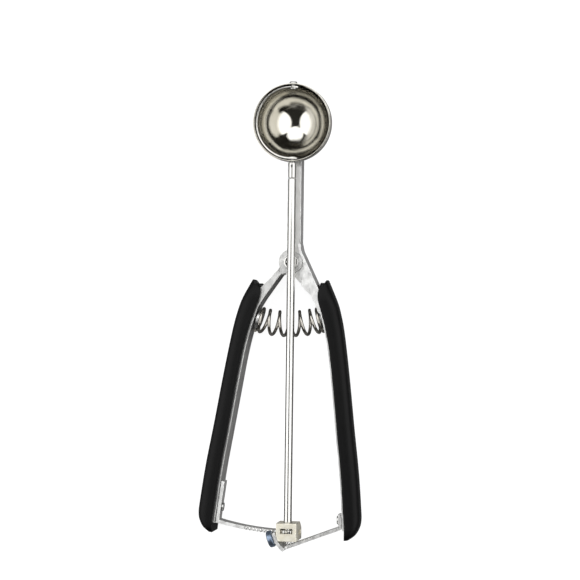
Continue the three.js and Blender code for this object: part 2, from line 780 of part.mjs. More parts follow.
// Gear housing: a cast block with a tapered back, open for the pinion and the rack
function makeHousing() {
  const front = housingRise;
  const back = housingRise - housingDepth;
  const profile = vectors([
    [housingFoot, back], [housingTop - taperLength, back], [housingTop, back + housingTaper],
    [housingTop, front - gap], [housingTop - gap, front], [housingFoot, front],
  ]);
  const block = blockAlongX(profile, -housingWidth / 2, housingWidth / 2);
  const rodBore = barY(rodRadius + gap, pinionTop, housingTop + cut, 32);
  const footBore = barY(journalRadius + gap, housingFoot - cut, pinionFoot, 24);
  const cavity = barY(pinionTip + gap, pinionFoot - gap, pinionTop + gap, 40);
  const tunnelHalf = armThickness / 2 + tunnelGap;
  const tunnel = blockAlongX(rectangle(-rackRadius - tunnelHalf, -rackRadius + tunnelHalf,
    back + tunnelFloor, rackPitchHeight + rackAddendum + gap - rodHeight), -housingWidth, housingWidth);
  const windowMiddle = -rackRadius + windowRise;
  const opening = plate(rectangle(-windowWidth / 2, windowWidth / 2, windowMiddle - windowLength / 2,
    windowMiddle + windowLength / 2), 0, front + cut);
  const toCorner = new THREE.Vector2(-cornerCutReach, housingFoot + cornerCutRise);
  const { up, out } = lugDirections();
  const reach = housingLength;
  const corner = plate(counterclockwise([
    toCorner.clone().addScaledVector(up, reach), toCorner.clone().addScaledVector(up, -reach),
    toCorner.clone().addScaledVector(up, -reach).addScaledVector(out, reach),
    toCorner.clone().addScaledVector(up, reach).addScaledVector(out, reach),
  ]), back - cut, front + cut);
  const { place, along } = screwLine();
  const screwHole = barToward(screwRadius + gap, place.clone().sub(new THREE.Vector2(rodOffset, 0)), along,
    -armThickness / 2 - gap - screwHoleDepth, 0, screwHeight - rodHeight, 20);
  return block.subtract(rodBore).subtract(footBore).subtract(cavity).subtract(tunnel).subtract(opening)
    .subtract(corner).subtract(screwHole);
}

// Rack arm: an arc about the hinge with teeth on its front edge and a tab riveted to the left leg.
// It is drawn as a right leg's arm and mirrored when it is placed.
const rackEndOverrun = 2.5;

function arcStrip(radius, half, from, to, steps) {
  const inner = [];
  const outer = [];
  for (let i = 0; i <= steps; i += 1) {
    const angle = from + (to - from) * i / steps;
    const direction = new THREE.Vector2(Math.sin(angle), -Math.cos(angle));
    inner.push(direction.clone().multiplyScalar(radius - half));
    outer.push(direction.clone().multiplyScalar(radius + half));
  }
  return counterclockwise([...inner, ...outer.reverse()]);
}

function makeRackArm() {
  const rodAngle = -openAngle - rodOffset / rackRadius;
  const tip = rodAngle - rackEndOverrun / rackRadius;
  const foot = runPoint(leftRun, footShare);
  const root = Math.atan2(foot.point.x, -foot.point.y) - (armThickness / 2 + gap) / rackRadius;
  const toothRoot = rackPitchHeight - rackAddendum - gearModule;
  const toothedEnd = rodAngle + (rackTeeth - 1) * circularPitch / rackRadius;
  const half = armThickness / 2;
  let arm = plate(arcStrip(rackRadius, half, tip, root, 30), rackBack, toothRoot);
  arm = arm.add(plate(arcStrip(rackRadius, half, toothedEnd, root, 14), toothRoot - gap,
    rackPitchHeight + rackAddendum));
  const halfTop = circularPitch / 4 - rackBacklash / 2 - rackAddendum * Math.tan(pressureAngle);
  const toothFootDepth = rackPitchHeight - toothRoot;
  const halfFoot = circularPitch / 4 - rackBacklash / 2 + toothFootDepth * Math.tan(pressureAngle);
  for (let tooth = 0; tooth < rackTeeth; tooth += 1) {
    const angle = rodAngle + (tooth - 0.5) * circularPitch / rackRadius;
    const outline = vectors([
      [-halfFoot, toothRoot - gap], [halfFoot, toothRoot - gap],
      [halfTop, rackPitchHeight + rackAddendum], [-halfTop, rackPitchHeight + rackAddendum],
    ]);
    const shape = new THREE.Shape(outline);
    const geometry = new THREE.ExtrudeGeometry(shape, { depth: armThickness, bevelEnabled: false });
    geometry.rotateX(Math.PI / 2);
    geometry.translate(0, -rackRadius + half, 0);
    geometry.rotateZ(angle);
    arm = arm.add(solidOf(geometry));
  }
  const tabTop = rackBack + 2 * armRivetHeadRadius + 2 * armThickness;
  const tabOutline = strip(leftRun, -gap - armThickness, -gap, rackTabShare, 1, 10);
  const tab = plate(counterclockwise(tabOutline), rackBack, tabTop);
  const hole = webHole(leftRun, rackRivetShare, armRivetRadius, rackRivetHeight);
  return arm.add(tab).subtract(hole);
}

// Stay arm: a strip from the right leg to below the housing. Its end turns up beside the housing
// as a lug for the screw. The lug's upper part reaches over the rack arm.
function lugDirections() {
  const up = new THREE.Vector2(-Math.sin(lugAngle), Math.cos(lugAngle));
  const out = new THREE.Vector2(-up.y, up.x);
  return { up, out };
}

function stayPlaces() {
  const foot = runPoint(rightRun, footShare);
  const start = foot.point.clone().addScaledVector(foot.normal, -gap - armThickness / 2);
  const corner = new THREE.Vector2(rodOffset - stayCornerReach, housingFoot - stayCornerDrop);
  const { up, out } = lugDirections();
  const knee = new THREE.Vector2(rodOffset - cornerCutReach, housingFoot + cornerCutRise)
    .addScaledVector(out, armThickness / 2 + gap);
  knee.addScaledVector(up, (housingFoot - stayKneeDrop - knee.y) / up.y);
  return { start, corner, knee, up, out };
}

function screwLine() {
  const { knee, up, out } = stayPlaces();
  return { place: knee.clone().addScaledVector(up, screwRise), along: out };
}

function bandBetween(a, b, half) {
  const along = b.clone().sub(a).normalize();
  const side = new THREE.Vector2(-along.y, along.x).multiplyScalar(half);
  const corners = [a.clone().add(side), b.clone().add(side), b.clone().sub(side), a.clone().sub(side)];
  return counterclockwise(corners);
}

function makeStayArm() {
  const { start, corner, knee, up } = stayPlaces();
  const { place, along } = screwLine();
  const half = armThickness / 2;
  const lugLowEnd = knee.clone().addScaledVector(up, lugLowLength);
  const lugEnd = knee.clone().addScaledVector(up, lugLength);
  const aboveRack = rackPitchHeight + rackAddendum + 2 * gap;
  const bend = (at, low, high) => plate(circle(half, 16, at.x, at.y), low, high);
  const tabOutline = strip(rightRun, -gap - armThickness, -gap, stayTabShare, footShare, 6);
  const { point, normal } = runPoint(rightRun, stayRivetShare);
  const hole = barToward(armRivetRadius + gap, point, normal, -cut - armThickness, cut,
    stayRivetHeight, 20);
  const screwHole = barToward(screwRadius + gap, place, along, -cut - half, cut + half, screwHeight, 20);
  return join(
    plate(counterclockwise(tabOutline), stayBack, stayFront), bend(start, stayBack, stayFront),
    plate(bandBetween(start, corner, half), stayBack, stayFront), bend(corner, stayBack, lugFront),
    plate(bandBetween(corner, knee, half), stayBack, lugFront), bend(knee, stayBack, lugFront),
    plate(bandBetween(knee, lugLowEnd, half), stayBack, lugFront),
    plate(bandBetween(knee, lugEnd, half), aboveRack, lugFront),
  ).subtract(hole).subtract(screwHole);
}

function makeStayScrew() {
  const { place, along } = screwLine();
  const headStart = armThickness / 2 + gap;
  const headEnd = headStart + screwHeadThickness;
  const head = barToward(screwHeadRadius, place, along, headStart, headEnd, screwHeight, 32);
  const shank = barToward(screwRadius, place, along, -headStart - screwDepth, headStart + gap,
    screwHeight, 20);
  return join(head, shank);
}

// Spring: an unbroken coil on a curved axis between the two legs' inner faces
function springSeat(curve, share) {
  const { point, normal } = runPoint(curve, share);
  const place = point.clone().addScaledVector(normal, -springStandoff - springWireRadius);
  return { place, inward: normal.clone().negate() };
}

const coilSteps = 8;
const wireSides = 5;
const endTurns = 1;
const springHandleShare = 0.34;

function springAxis() {
  const left = springSeat(leftRun, leftSeatShare);
  const right = springSeat(rightRun, rightSeatShare);
  const start = toLeft(left.place);
  const reach = start.distanceTo(right.place) * springHandleShare;
  return new THREE.CubicBezierCurve(
    start, start.clone().addScaledVector(toLeft(left.inward), reach),
    right.place.clone().addScaledVector(right.inward, reach), right.place,
  );
}

function springFrames() {
  const axis = springAxis();
  const length = axis.getLength();
  const endAdvance = 2 * springWireRadius + springEndGap;
  const middleLength = length - 2 * endTurns * endAdvance;
  const middleTurns = Math.max(Math.round(middleLength / springMiddlePitch), 1);
  const turns = middleTurns + 2 * endTurns;
  const steps = turns * coilSteps;
  const middlePitch = middleLength / middleTurns;
  const frames = [];
  for (let i = 0; i <= steps; i += 1) {
    const turn = i / coilSteps;
    const first = Math.min(turn, endTurns) * endAdvance;
    const middle = THREE.MathUtils.clamp(turn - endTurns, 0, middleTurns) * middlePitch;
    const last = Math.max(turn - endTurns - middleTurns, 0) * endAdvance;
    const share = Math.min((first + middle + last) / length, 1);
    const point = axis.getPointAt(share);
    const tangent = axis.getTangentAt(share);
    const side = new THREE.Vector3(-tangent.y, tangent.x, 0);
    const angle = 2 * Math.PI * turn + Math.PI / 2;
    const centre = new THREE.Vector3(point.x, point.y, frameMiddle)
      .addScaledVector(side, springCoilRadius * Math.cos(angle));
    centre.z += springCoilRadius * Math.sin(angle);
    frames.push(centre);
  }
  return frames;
}

function leastGap(centres) {
  let least = Infinity;
  const skip = coilSteps / 2;
  for (let i = 0; i < centres.length; i += 1) {
    for (let j = i + skip; j < centres.length; j += 1) {
      least = Math.min(least, centres[i].distanceTo(centres[j]) - 2 * springWireRadius);
    }
  }
  return least;
}

function makeSpring() {
  const centres = springFrames();
  const rings = centres.map((centre, i) => {
    const before = centres[Math.max(i - 1, 0)];
    const after = centres[Math.min(i + 1, centres.length - 1)];
    const along = after.clone().sub(before).normalize();
    return { centre, along };
  });
  // The section is carried from ring to ring so that the wire doesn't twist
  let side = new THREE.Vector3().crossVectors(rings[0].along, new THREE.Vector3(0, 0, 1)).normalize();
  const loops = rings.map(({ centre, along }) => {
    side = side.clone().addScaledVector(along, -side.dot(along)).normalize();
    const other = new THREE.Vector3().crossVectors(along, side);
    const loop = [];
    for (let k = 0; k < wireSides; k += 1) {
      const angle = 2 * Math.PI * k / wireSides;
      loop.push(centre.clone().addScaledVector(side, springWireRadius * Math.cos(angle))
        .addScaledVector(other, springWireRadius * Math.sin(angle)));
    }
    return loop;
  });
  console.log("Least gap of the spring to itself:", leastGap(centres).toFixed(2), "mm");
  return solidOf(loft(loops));
}

// A stud that keeps one end of the spring on its leg
function makeSpringStud(curve, share) {
  const { point, normal } = runPoint(curve, share);
  const bar = (radius, from, to) => barToward(radius, point, normal, from, to, frameMiddle, 24);
  return join(
    bar(studRadius, -studStandoff - studLength, -studStandoff),
    bar(studShankRadius, -studStandoff - cut, sheet + gap + studHeadHeight),
    bar(studHeadRadius, sheet + gap, sheet + gap + studHeadHeight),
  );
}

// The scoop as a tree of groups
const scoop = new THREE.Group();
const rodLine = new THREE.Group();
rodLine.position.set(rodOffset, 0, rodHeight);
const bowlPlace = new THREE.Group();
bowlPlace.position.set(rodOffset, bowlDistance, rodHeight);
const wiperPlace = new THREE.Group();
wiperPlace.rotation.y = -THREE.MathUtils.degToRad(wiperRestDegrees);
const leftLeg = new THREE.Group();
leftLeg.rotation.z = -openAngle;

// A left piece is drawn as a right one, so it is mirrored before it is put in the left leg
function mirrored(name, solid, finish) {
  const geometry = geometryOf(solid);
  geometry.scale(-1, 1, 1);
  const index = geometry.index.array;
  for (let i = 0; i < index.length; i += 3) {
    [index[i], index[i + 1]] = [index[i + 1], index[i]];
  }
  geometry.computeVertexNormals();
  const mesh = new THREE.Mesh(geometry, new THREE.MeshStandardMaterial(finish));
  mesh.name = name;
  return mesh;
}

function armRivet(curve, share, height) {
  return webRivet(curve, share, -2 * gap - armThickness, sheet + gap, armRivetRadius,
    armRivetHeadRadius, armRivetHeadHeight, height);
}

scoop.add(
  piece("right_frame", makeRightFrame(), satin),
  piece("right_grip", makeGrip(rightRun, rightGripTop, rightNotch, stayRivetShare, stayRivetHeight,
    rightSeatShare), blackRubber),
  piece("hinge_rivet", makeHingeRivet(), satin),
  piece("stay_arm", makeStayArm(), satin),
  piece("stay_arm_rivet", armRivet(rightRun, stayRivetShare, stayRivetHeight), satin),
  piece("stay_screw", makeStayScrew(), blued),
  piece("right_spring_stud", makeSpringStud(rightRun, rightSeatShare), satin),
  piece("spring", makeSpring(), springSteel),
  rodLine,
  bowlPlace,
  leftLeg,
);
rodLine.add(
  piece("rod", makeRod(), polished),
  piece("wiper_shank", makeShank(), polished),
  piece("pinion", makePinion(), satin),
  piece("pinion_pin", makePinionPin(), satin),
  piece("rod_end_clip", makeRodClip(), satin),
  piece("gear_housing", makeHousing(), cast),
);
bowlPlace.add(
  piece("bowl", makeBowl(), polished),
  piece("wiper_tip_pin", makeWiperPin(), polished),
  wiperPlace,
);
wiperPlace.add(piece("wiper", makeWiper(), polished));
leftLeg.add(
  mirrored("left_frame", makeLeftFrame(), satin),
  mirrored("left_grip", makeGrip(leftRun, leftGripTop, leftNotch, rackRivetShare, rackRivetHeight,
    leftSeatShare), blackRubber),
  mirrored("rack_arm", makeRackArm(), satin),
  mirrored("rack_arm_rivet", armRivet(leftRun, rackRivetShare, rackRivetHeight), satin),
  mirrored("left_spring_stud", makeSpringStud(leftRun, leftSeatShare), satin),
);

// The origin goes to the middle of the base
scoop.updateMatrixWorld(true);
const box = new THREE.Box3().setFromObject(scoop, true);
const centre = box.getCenter(new THREE.Vector3());
scoop.position.set(-centre.x, -centre.y, -box.min.z);
const whole = new THREE.Group();
whole.add(scoop);
console.log("Hinge at", (-centre.x).toFixed(3), (-centre.y).toFixed(3), (-box.min.z).toFixed(3));

export default whole;
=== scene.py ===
"""The look of a squeeze cookie scoop lying on a pale floor: polished bowl and rod, black rubber grips."""
import json
import math

import bmesh
import bpy
from mathutils import Matrix, Vector


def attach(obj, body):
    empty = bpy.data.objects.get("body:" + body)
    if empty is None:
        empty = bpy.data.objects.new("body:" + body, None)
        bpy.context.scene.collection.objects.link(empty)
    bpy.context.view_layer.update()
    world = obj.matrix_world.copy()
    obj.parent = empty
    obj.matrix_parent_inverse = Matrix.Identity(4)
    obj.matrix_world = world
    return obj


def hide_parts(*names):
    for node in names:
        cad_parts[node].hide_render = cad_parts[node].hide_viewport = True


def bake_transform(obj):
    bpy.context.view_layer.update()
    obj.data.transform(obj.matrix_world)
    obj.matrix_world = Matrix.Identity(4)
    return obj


MM = 0.001

# Sizes of the scoop in millimetres: places are measured from the hinge, and heights from the floor
GAP = 0.3
OVERRUN = 1.0
BOWL_RADIUS = 19.6
BOWL_WALL = 0.8
BOWL_INSIDE = BOWL_RADIUS - BOWL_WALL
BOWL_LIP = 4.0
BOWL_RIM_EDGE = 0.15
BOWL_DISTANCE = 69.5

ROD_OFFSET = 0.5
ROD_RADIUS = 2.0
ROD_HEIGHT = BOWL_RADIUS
ROD_EDGE = 0.25
ROD_FOOT_EDGE = 0.3
SPIGOT_RADIUS = ROD_RADIUS / 2
SPIGOT_EDGE = 0.2
JOURNAL_RADIUS = 1.3
JOURNAL_HEAD_RADIUS = 2.1
JOURNAL_HEAD_HEIGHT = 0.6
SHANK_LENGTH = 7.6
SHANK_TOP = BOWL_DISTANCE - BOWL_RADIUS - GAP
SHANK_FOOT = SHANK_TOP - SHANK_LENGTH
SOCKET_DEPTH = 4.0
SHANK_SLOT_WIDTH = 0.9

WIPER_WIDTH = 7.8
WIPER_THICKNESS = 0.7
WIPER_EDGE = 0.12
WIPER_REST_DEGREES = 4
WIPER_OUTER = BOWL_INSIDE - GAP
WIPER_INNER = WIPER_OUTER - WIPER_THICKNESS
PIN_RADIUS = 1.2
PIN_HEAD_RADIUS = 2.0
PIN_HEAD_HEIGHT = 0.8
PIN_EDGE = 0.2
PIN_CROWN = 0.55

SHEET = 1.2
CHANNEL_BACK = 2.4
ROD_TO_CHANNEL = 0.4
CHANNEL_FRONT = ROD_HEIGHT - ROD_RADIUS - ROD_TO_CHANNEL
FRAME_MIDDLE = (CHANNEL_BACK + CHANNEL_FRONT) / 2
FRAME_EDGE = 0.3
FLANGE_WIDTH = 5.0
FLANGE_TOP_WIDTH = 2.7
FLANGE_GROWTH_SHARE = 0.14
HANDLE_LENGTH = 134.0
HANDLE_SPREAD = 27.6
OPEN_DEGREES = 4.1
NECK_INSET = 2.6

RIVET_RADIUS = 2.2
RIVET_HEAD_RADIUS = 3.7
RIVET_HEAD_HEIGHT = 0.7
RIVET_FRONT = CHANNEL_FRONT - NECK_INSET + GAP + SHEET + GAP
RIVET_BACK = CHANNEL_BACK + NECK_INSET - GAP - SHEET - GAP
RIVET_EDGE = 0.45
DISH_BEVEL = 0.4
DISH_DEPTH = 0.45
DISH_FLOOR_RADIUS = 1.2
DISH_CENTRE_DEPTH = 0.15
ARM_RIVET_RADIUS = 1.2
ARM_RIVET_HEAD_RADIUS = 2.2
ARM_RIVET_HEAD_HEIGHT = 0.7
ARM_RIVET_EDGE = 0.4

FOOT_SHARE = 0.99
ARM_THICKNESS = 1.6
RACK_INSET = 1.3
RACK_RADIUS = math.hypot(HANDLE_LENGTH, HANDLE_SPREAD) - RACK_INSET
RACK_DEPTH = 8.1
RACK_EDGE = 0.1
RACK_RIVET_RISE = 6.8
PINION_PITCH_RADIUS = 3.0
RACK_BACK = ROD_HEIGHT - PINION_PITCH_RADIUS - RACK_DEPTH
RACK_RIVET_HEIGHT = RACK_BACK + ARM_RIVET_HEAD_RADIUS + ARM_THICKNESS
STAY_DEPTH = 7.5
STAY_EDGE = 0.6
STAY_RIVET_RISE = 3.9
STAY_RIVET_HEIGHT = CHANNEL_FRONT - GAP - STAY_DEPTH / 2
KNEE_DROP = 0.6
HOUSING_LEAD = 5.3
HOUSING_LENGTH = 9.0
HOUSING_TOP = -RACK_RADIUS + HOUSING_LEAD
HOUSING_FOOT = HOUSING_TOP - HOUSING_LENGTH
HOUSING_EDGE = 0.45
PINION_LENGTH = 3.0
PINION_TOP = -RACK_RADIUS + PINION_LENGTH / 2
CLIP_HEIGHT = 0.8

LUG_DEGREES = 19
CORNER_CUT_REACH = 4.7
CORNER_CUT_RISE = 1.7
SCREW_RISE = 2.3
SCREW_ABOVE_ROD = 1.9
SCREW_HEIGHT = ROD_HEIGHT + SCREW_ABOVE_ROD
SCREW_RADIUS = 1.2
SCREW_DEPTH = 0.5
SCREW_TIP_EDGE = 0.2
SCREW_HEAD_RADIUS = 4.2
SCREW_HEAD_THICKNESS = 2.8
SCREW_HEAD_BEVEL = 0.4
SCREW_HEAD_CROWN = 0.9
SCREW_SLOT_DEPTH = 0.8
SCREW_SLOT_LENGTH = 12.0
SCREW_SLOT_WIDTH = 1.1

SPRING_SEAT_SHARE = 0.213
SPRING_INSET = 1.4
COIL_RADIUS = (CHANNEL_FRONT - CHANNEL_BACK) / 2 - SPRING_INSET
WIRE_RADIUS = 0.8
SPRING_STANDOFF = 0.6
SPRING_END_GAP = 0.6
SPRING_END_PITCH = 2 * WIRE_RADIUS + SPRING_END_GAP
SPRING_MIDDLE_PITCH = 5.2
SPRING_BOW_SHARE = 0.34
STUD_CLEARANCE = 0.6
STUD_RADIUS = COIL_RADIUS - WIRE_RADIUS - STUD_CLEARANCE
STUD_STANDOFF = 0.7
STUD_LENGTH = 2.4
STUD_EDGE = 0.5
STUD_SHANK_RADIUS = 1.0
STUD_HEAD_RADIUS = 1.9
STUD_HEAD_HEIGHT = 0.6
STUD_HEAD_EDGE = 0.3

GRIP_WIDTH = 8.4
GRIP_COVER = 2.2
GRIP_DEPTH = CHANNEL_FRONT + GRIP_COVER
GRIP_REVEAL = 0.9
NOTCH_TIP = 0.3

# How finely shapes are made, in millimetres and degrees
WELD = 0.0005
DRILL_EDGE = 0.01
FACET_DEGREES = 0.5
BEVELLED_DEGREES = 30
SHARP_DEGREES = 35
ROUNDED_SHARP_DEGREES = 40

# The photograph's camera: its distances are in metres, and its lens and its aim in millimetres
CAMERA_YAW_DEGREES = 8.5
CAMERA_ROLL_DEGREES = 0.74
CAMERA_DISTANCE = 1.1
CAMERA_NEAR = 0.01
CAMERA_FOCAL = 136.6
CAMERA_SENSOR = 36.0
AIM_ACROSS = -0.375
AIM_ALONG = -14.0

# The roughness of surfaces: noise scales per metre, depths in metres, and the part of a noise that shows
HAIRLINE_SCALE = 2400
HAIRLINE_RANGE = (0.6, 0.75)
RIPPLE_SCALE = 170
RIPPLE_DEPTH = 0.0004
GRAIN_DEPTH = 0.00005
RING_DEPTH = 0.00001
NOISE_RANGE = (0.3, 0.7)

# The studio: name, azimuth and elevation in degrees, width and length in metres, brightness
SOFTBOXES = [
    ("left panel", 180, 43, 1.34, 1.36, 2.15),
    ("right panel", 0, 43, 1.34, 1.36, 2.15),
    ("far panel", 90, 57, 0.84, 0.86, 2.15),
]
ROOM_COLOUR = (0.035, 0.034, 0.03)

# The floor, in millimetres
FLOOR_REACH = 3000.0
FLOOR_THICKNESS = 5.0
FLOOR_GREY = 0.26
FLOOR_ROUGHNESS = 0.9
FLOOR_GLOW = 0.9

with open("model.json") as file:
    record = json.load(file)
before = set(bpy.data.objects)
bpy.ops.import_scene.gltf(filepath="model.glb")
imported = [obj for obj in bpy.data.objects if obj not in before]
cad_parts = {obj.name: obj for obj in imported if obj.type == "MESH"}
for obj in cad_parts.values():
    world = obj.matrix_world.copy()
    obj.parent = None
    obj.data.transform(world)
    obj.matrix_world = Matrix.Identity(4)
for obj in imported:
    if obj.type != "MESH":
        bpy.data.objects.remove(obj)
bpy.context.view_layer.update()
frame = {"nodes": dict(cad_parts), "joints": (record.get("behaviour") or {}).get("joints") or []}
HINGE = Vector(next(j for j in frame["joints"] if j["name"] == "squeeze")["pos_m"])
HINGE.z = 0.0
TO_SCENE = Matrix.Translation(HINGE) @ Matrix.Scale(MM, 4)
ALONG_Y = Vector((0, 1, 0))
UPWARD = Vector((0, 0, 1))
BOWL_CENTRE = Vector((ROD_OFFSET, BOWL_DISTANCE, ROD_HEIGHT))
ROD_LINE = Vector((ROD_OFFSET, 0, ROD_HEIGHT))


# Finishes
def add_node(tree, kind, **values):
    node = tree.nodes.new(kind)
    for key, value in values.items():
        setattr(node, key, value)
    return node


def make_group(name, inputs, outputs):
    group = bpy.data.node_groups.new(name, "ShaderNodeTree")
    for direction, sockets in (("INPUT", inputs), ("OUTPUT", outputs)):
        for socket, kind in sockets:
            group.interface.new_socket(socket, in_out=direction, socket_type=kind)
    return group, add_node(group, "NodeGroupInput"), add_node(group, "NodeGroupOutput")


def add_noise(tree, place, scale, detail):
    """A noise at a place. The scale is a number or the socket that gives it."""
    noise = add_node(tree, "ShaderNodeTexNoise")
    noise.inputs["Detail"].default_value = detail
    tree.links.new(place, noise.inputs["Vector"])
    if isinstance(scale, bpy.types.NodeSocket):
        tree.links.new(scale, noise.inputs["Scale"])
    else:
        noise.inputs["Scale"].default_value = scale
    return noise.outputs["Fac"]


def add_bump(tree, height, depth, strength, normal):
    """A relief of a depth in metres over a normal. The strength is a number or the socket that gives it."""
    bump = add_node(tree, "ShaderNodeBump")
    bump.inputs["Distance"].default_value = depth
    tree.links.new(height, bump.inputs["Height"])
    tree.links.new(normal, bump.inputs["Normal"])
    if isinstance(strength, bpy.types.NodeSocket):
        tree.links.new(strength, bump.inputs["Strength"])
    else:
        bump.inputs["Strength"].default_value = strength
    return bump.outputs["Normal"]


def add_range(tree, source, given_range, low, high):
    """Turns the values of a range into values from low to high."""
    ramp = add_node(tree, "ShaderNodeMapRange")
    for socket, value in zip(("From Min", "From Max", "To Min", "To Max"), (*given_range, low, high)):
        ramp.inputs[socket].default_value = value
    tree.links.new(source, ramp.inputs["Value"])
    return ramp.outputs["Result"]


def worked_surface():
    """Grain drawn out along one axis, with soft clouding, hairlines, pressed ripples and rounded edges."""
    value, vector = "NodeSocketFloat", "NodeSocketVector"
    group, given, result = make_group(
        "worked surface",
        [("Scale", value), ("Stretch", vector), ("Relief", value), ("Edge", value), ("Clouding", value),
         ("Ripple", value)],
        [("Grain", value), ("Cloud", value), ("Hairline", value), ("Normal", vector)],
    )
    link = group.links.new
    place = add_node(group, "ShaderNodeTexCoord").outputs["Object"]
    drawn = add_node(group, "ShaderNodeMapping")
    link(place, drawn.inputs["Vector"])
    link(given.outputs["Stretch"], drawn.inputs["Scale"])
    grain = add_noise(group, drawn.outputs["Vector"], given.outputs["Scale"], detail=6)
    cloud = add_noise(group, place, given.outputs["Clouding"], detail=2)
    fine = add_noise(group, drawn.outputs["Vector"], HAIRLINE_SCALE, detail=3)
    wave = add_noise(group, place, RIPPLE_SCALE, detail=1)
    rounded = add_node(group, "ShaderNodeBevel", samples=4)
    link(given.outputs["Edge"], rounded.inputs["Radius"])
    rippled = add_bump(group, wave, RIPPLE_DEPTH, given.outputs["Ripple"], rounded.outputs["Normal"])
    grained = add_bump(group, grain, GRAIN_DEPTH, given.outputs["Relief"], rippled)
    link(grain, result.inputs["Grain"])
    link(cloud, result.inputs["Cloud"])
    link(add_range(group, fine, HAIRLINE_RANGE, 0, 1), result.inputs["Hairline"])
    link(grained, result.inputs["Normal"])
    return group


SURFACE = worked_surface()


def mix_colours(tree, factor, first, second):
    mix = add_node(tree, "ShaderNodeMix", data_type="RGBA")
    tree.links.new(factor, mix.inputs["Factor"])
    for socket, colour in (("A", first), ("B", second)):
        if isinstance(colour, tuple):
            mix.inputs[socket].default_value = (*colour, 1)
        else:
            tree.links.new(colour, mix.inputs[socket])
    return mix.outputs["Result"]


def finish(name, dark, light, rough, scale, relief, edge, stretch=(1, 1, 1), metallic=1.0, specular=0.5,
           marks=None, clouding=55, ripple=0.0):
    """A finish clouded between two colours, with grain in its roughness and relief."""
    material = bpy.data.materials.new(name)
    material.use_nodes = True
    tree = material.node_tree
    shader = tree.nodes["Principled BSDF"]
    shader.inputs["Metallic"].default_value = metallic
    shader.inputs["Specular IOR Level"].default_value = specular
    surface = add_node(tree, "ShaderNodeGroup", node_tree=SURFACE, name="surface")
    surface.inputs["Scale"].default_value = scale
    surface.inputs["Stretch"].default_value = stretch
    surface.inputs["Relief"].default_value = relief
    surface.inputs["Edge"].default_value = edge * MM
    surface.inputs["Clouding"].default_value = clouding
    surface.inputs["Ripple"].default_value = ripple
    colour = mix_colours(tree, surface.outputs["Cloud"], dark, light)
    if marks:
        colour = mix_colours(tree, surface.outputs["Hairline"], colour, marks)
    roughness = add_range(tree, surface.outputs["Grain"], NOISE_RANGE, *rough)
    tree.links.new(colour, shader.inputs["Base Color"])
    tree.links.new(roughness, shader.inputs["Roughness"])
    tree.links.new(surface.outputs["Normal"], shader.inputs["Normal"])
    return material


def turning_marks(material, centre, rings, relief):
    """Adds the fine rings that a spinning tool leaves around a centre, evenly spaced over a dome."""
    tree = material.node_tree
    link = tree.links.new
    placed = add_node(tree, "ShaderNodeMapping")
    placed.inputs["Location"].default_value = -(TO_SCENE @ centre)
    link(add_node(tree, "ShaderNodeTexCoord").outputs["Object"], placed.inputs["Vector"])
    parts = add_node(tree, "ShaderNodeSeparateXYZ")
    link(placed.outputs["Vector"], parts.inputs["Vector"])
    flat = add_node(tree, "ShaderNodeCombineXYZ")
    link(parts.outputs["X"], flat.inputs["X"])
    link(parts.outputs["Y"], flat.inputs["Y"])
    reach = add_node(tree, "ShaderNodeVectorMath", operation="LENGTH")
    link(flat.outputs["Vector"], reach.inputs[0])
    slope = add_node(tree, "ShaderNodeMath", operation="ARCTAN2")
    link(reach.outputs["Value"], slope.inputs[0])
    link(parts.outputs["Z"], slope.inputs[1])
    ring = add_node(tree, "ShaderNodeTexNoise", noise_dimensions="1D")
    ring.inputs["Scale"].default_value = rings
    ring.inputs["Detail"].default_value = 4
    link(slope.outputs["Value"], ring.inputs["W"])
    under = tree.nodes["surface"].outputs["Normal"]
    ringed = add_bump(tree, ring.outputs["Fac"], RING_DEPTH, relief, under)
    link(ringed, tree.nodes["Principled BSDF"].inputs["Normal"])


def seen_differently(tree, others, camera, output):
    """One shader for the rays that leave the camera, and another for all the others."""
    seen = add_node(tree, "ShaderNodeLightPath")
    choice = add_node(tree, "ShaderNodeMixShader")
    tree.links.new(seen.outputs["Is Camera Ray"], choice.inputs["Fac"])
    tree.links.new(others, choice.inputs[1])
    tree.links.new(camera, choice.inputs[2])
    tree.links.new(choice.outputs["Shader"], tree.nodes[output].inputs["Surface"])


def floor_finish():
    """A grey that the exposure takes to white, while the metal mirrors its real grey."""
    material = bpy.data.materials.new("pale floor")
    material.use_nodes = True
    tree = material.node_tree
    shader = tree.nodes["Principled BSDF"]
    shader.inputs["Base Color"].default_value = (FLOOR_GREY, FLOOR_GREY, FLOOR_GREY, 1)
    shader.inputs["Roughness"].default_value = FLOOR_ROUGHNESS
    shader.inputs["Specular IOR Level"].default_value = 0.0
    glow = add_node(tree, "ShaderNodeEmission")
    glow.inputs["Strength"].default_value = FLOOR_GLOW
    exposed = add_node(tree, "ShaderNodeAddShader")
    tree.links.new(shader.outputs["BSDF"], exposed.inputs[0])
    tree.links.new(glow.outputs["Emission"], exposed.inputs[1])
    seen_differently(tree, shader.outputs["BSDF"], exposed.outputs["Shader"], "Material Output")
    return material


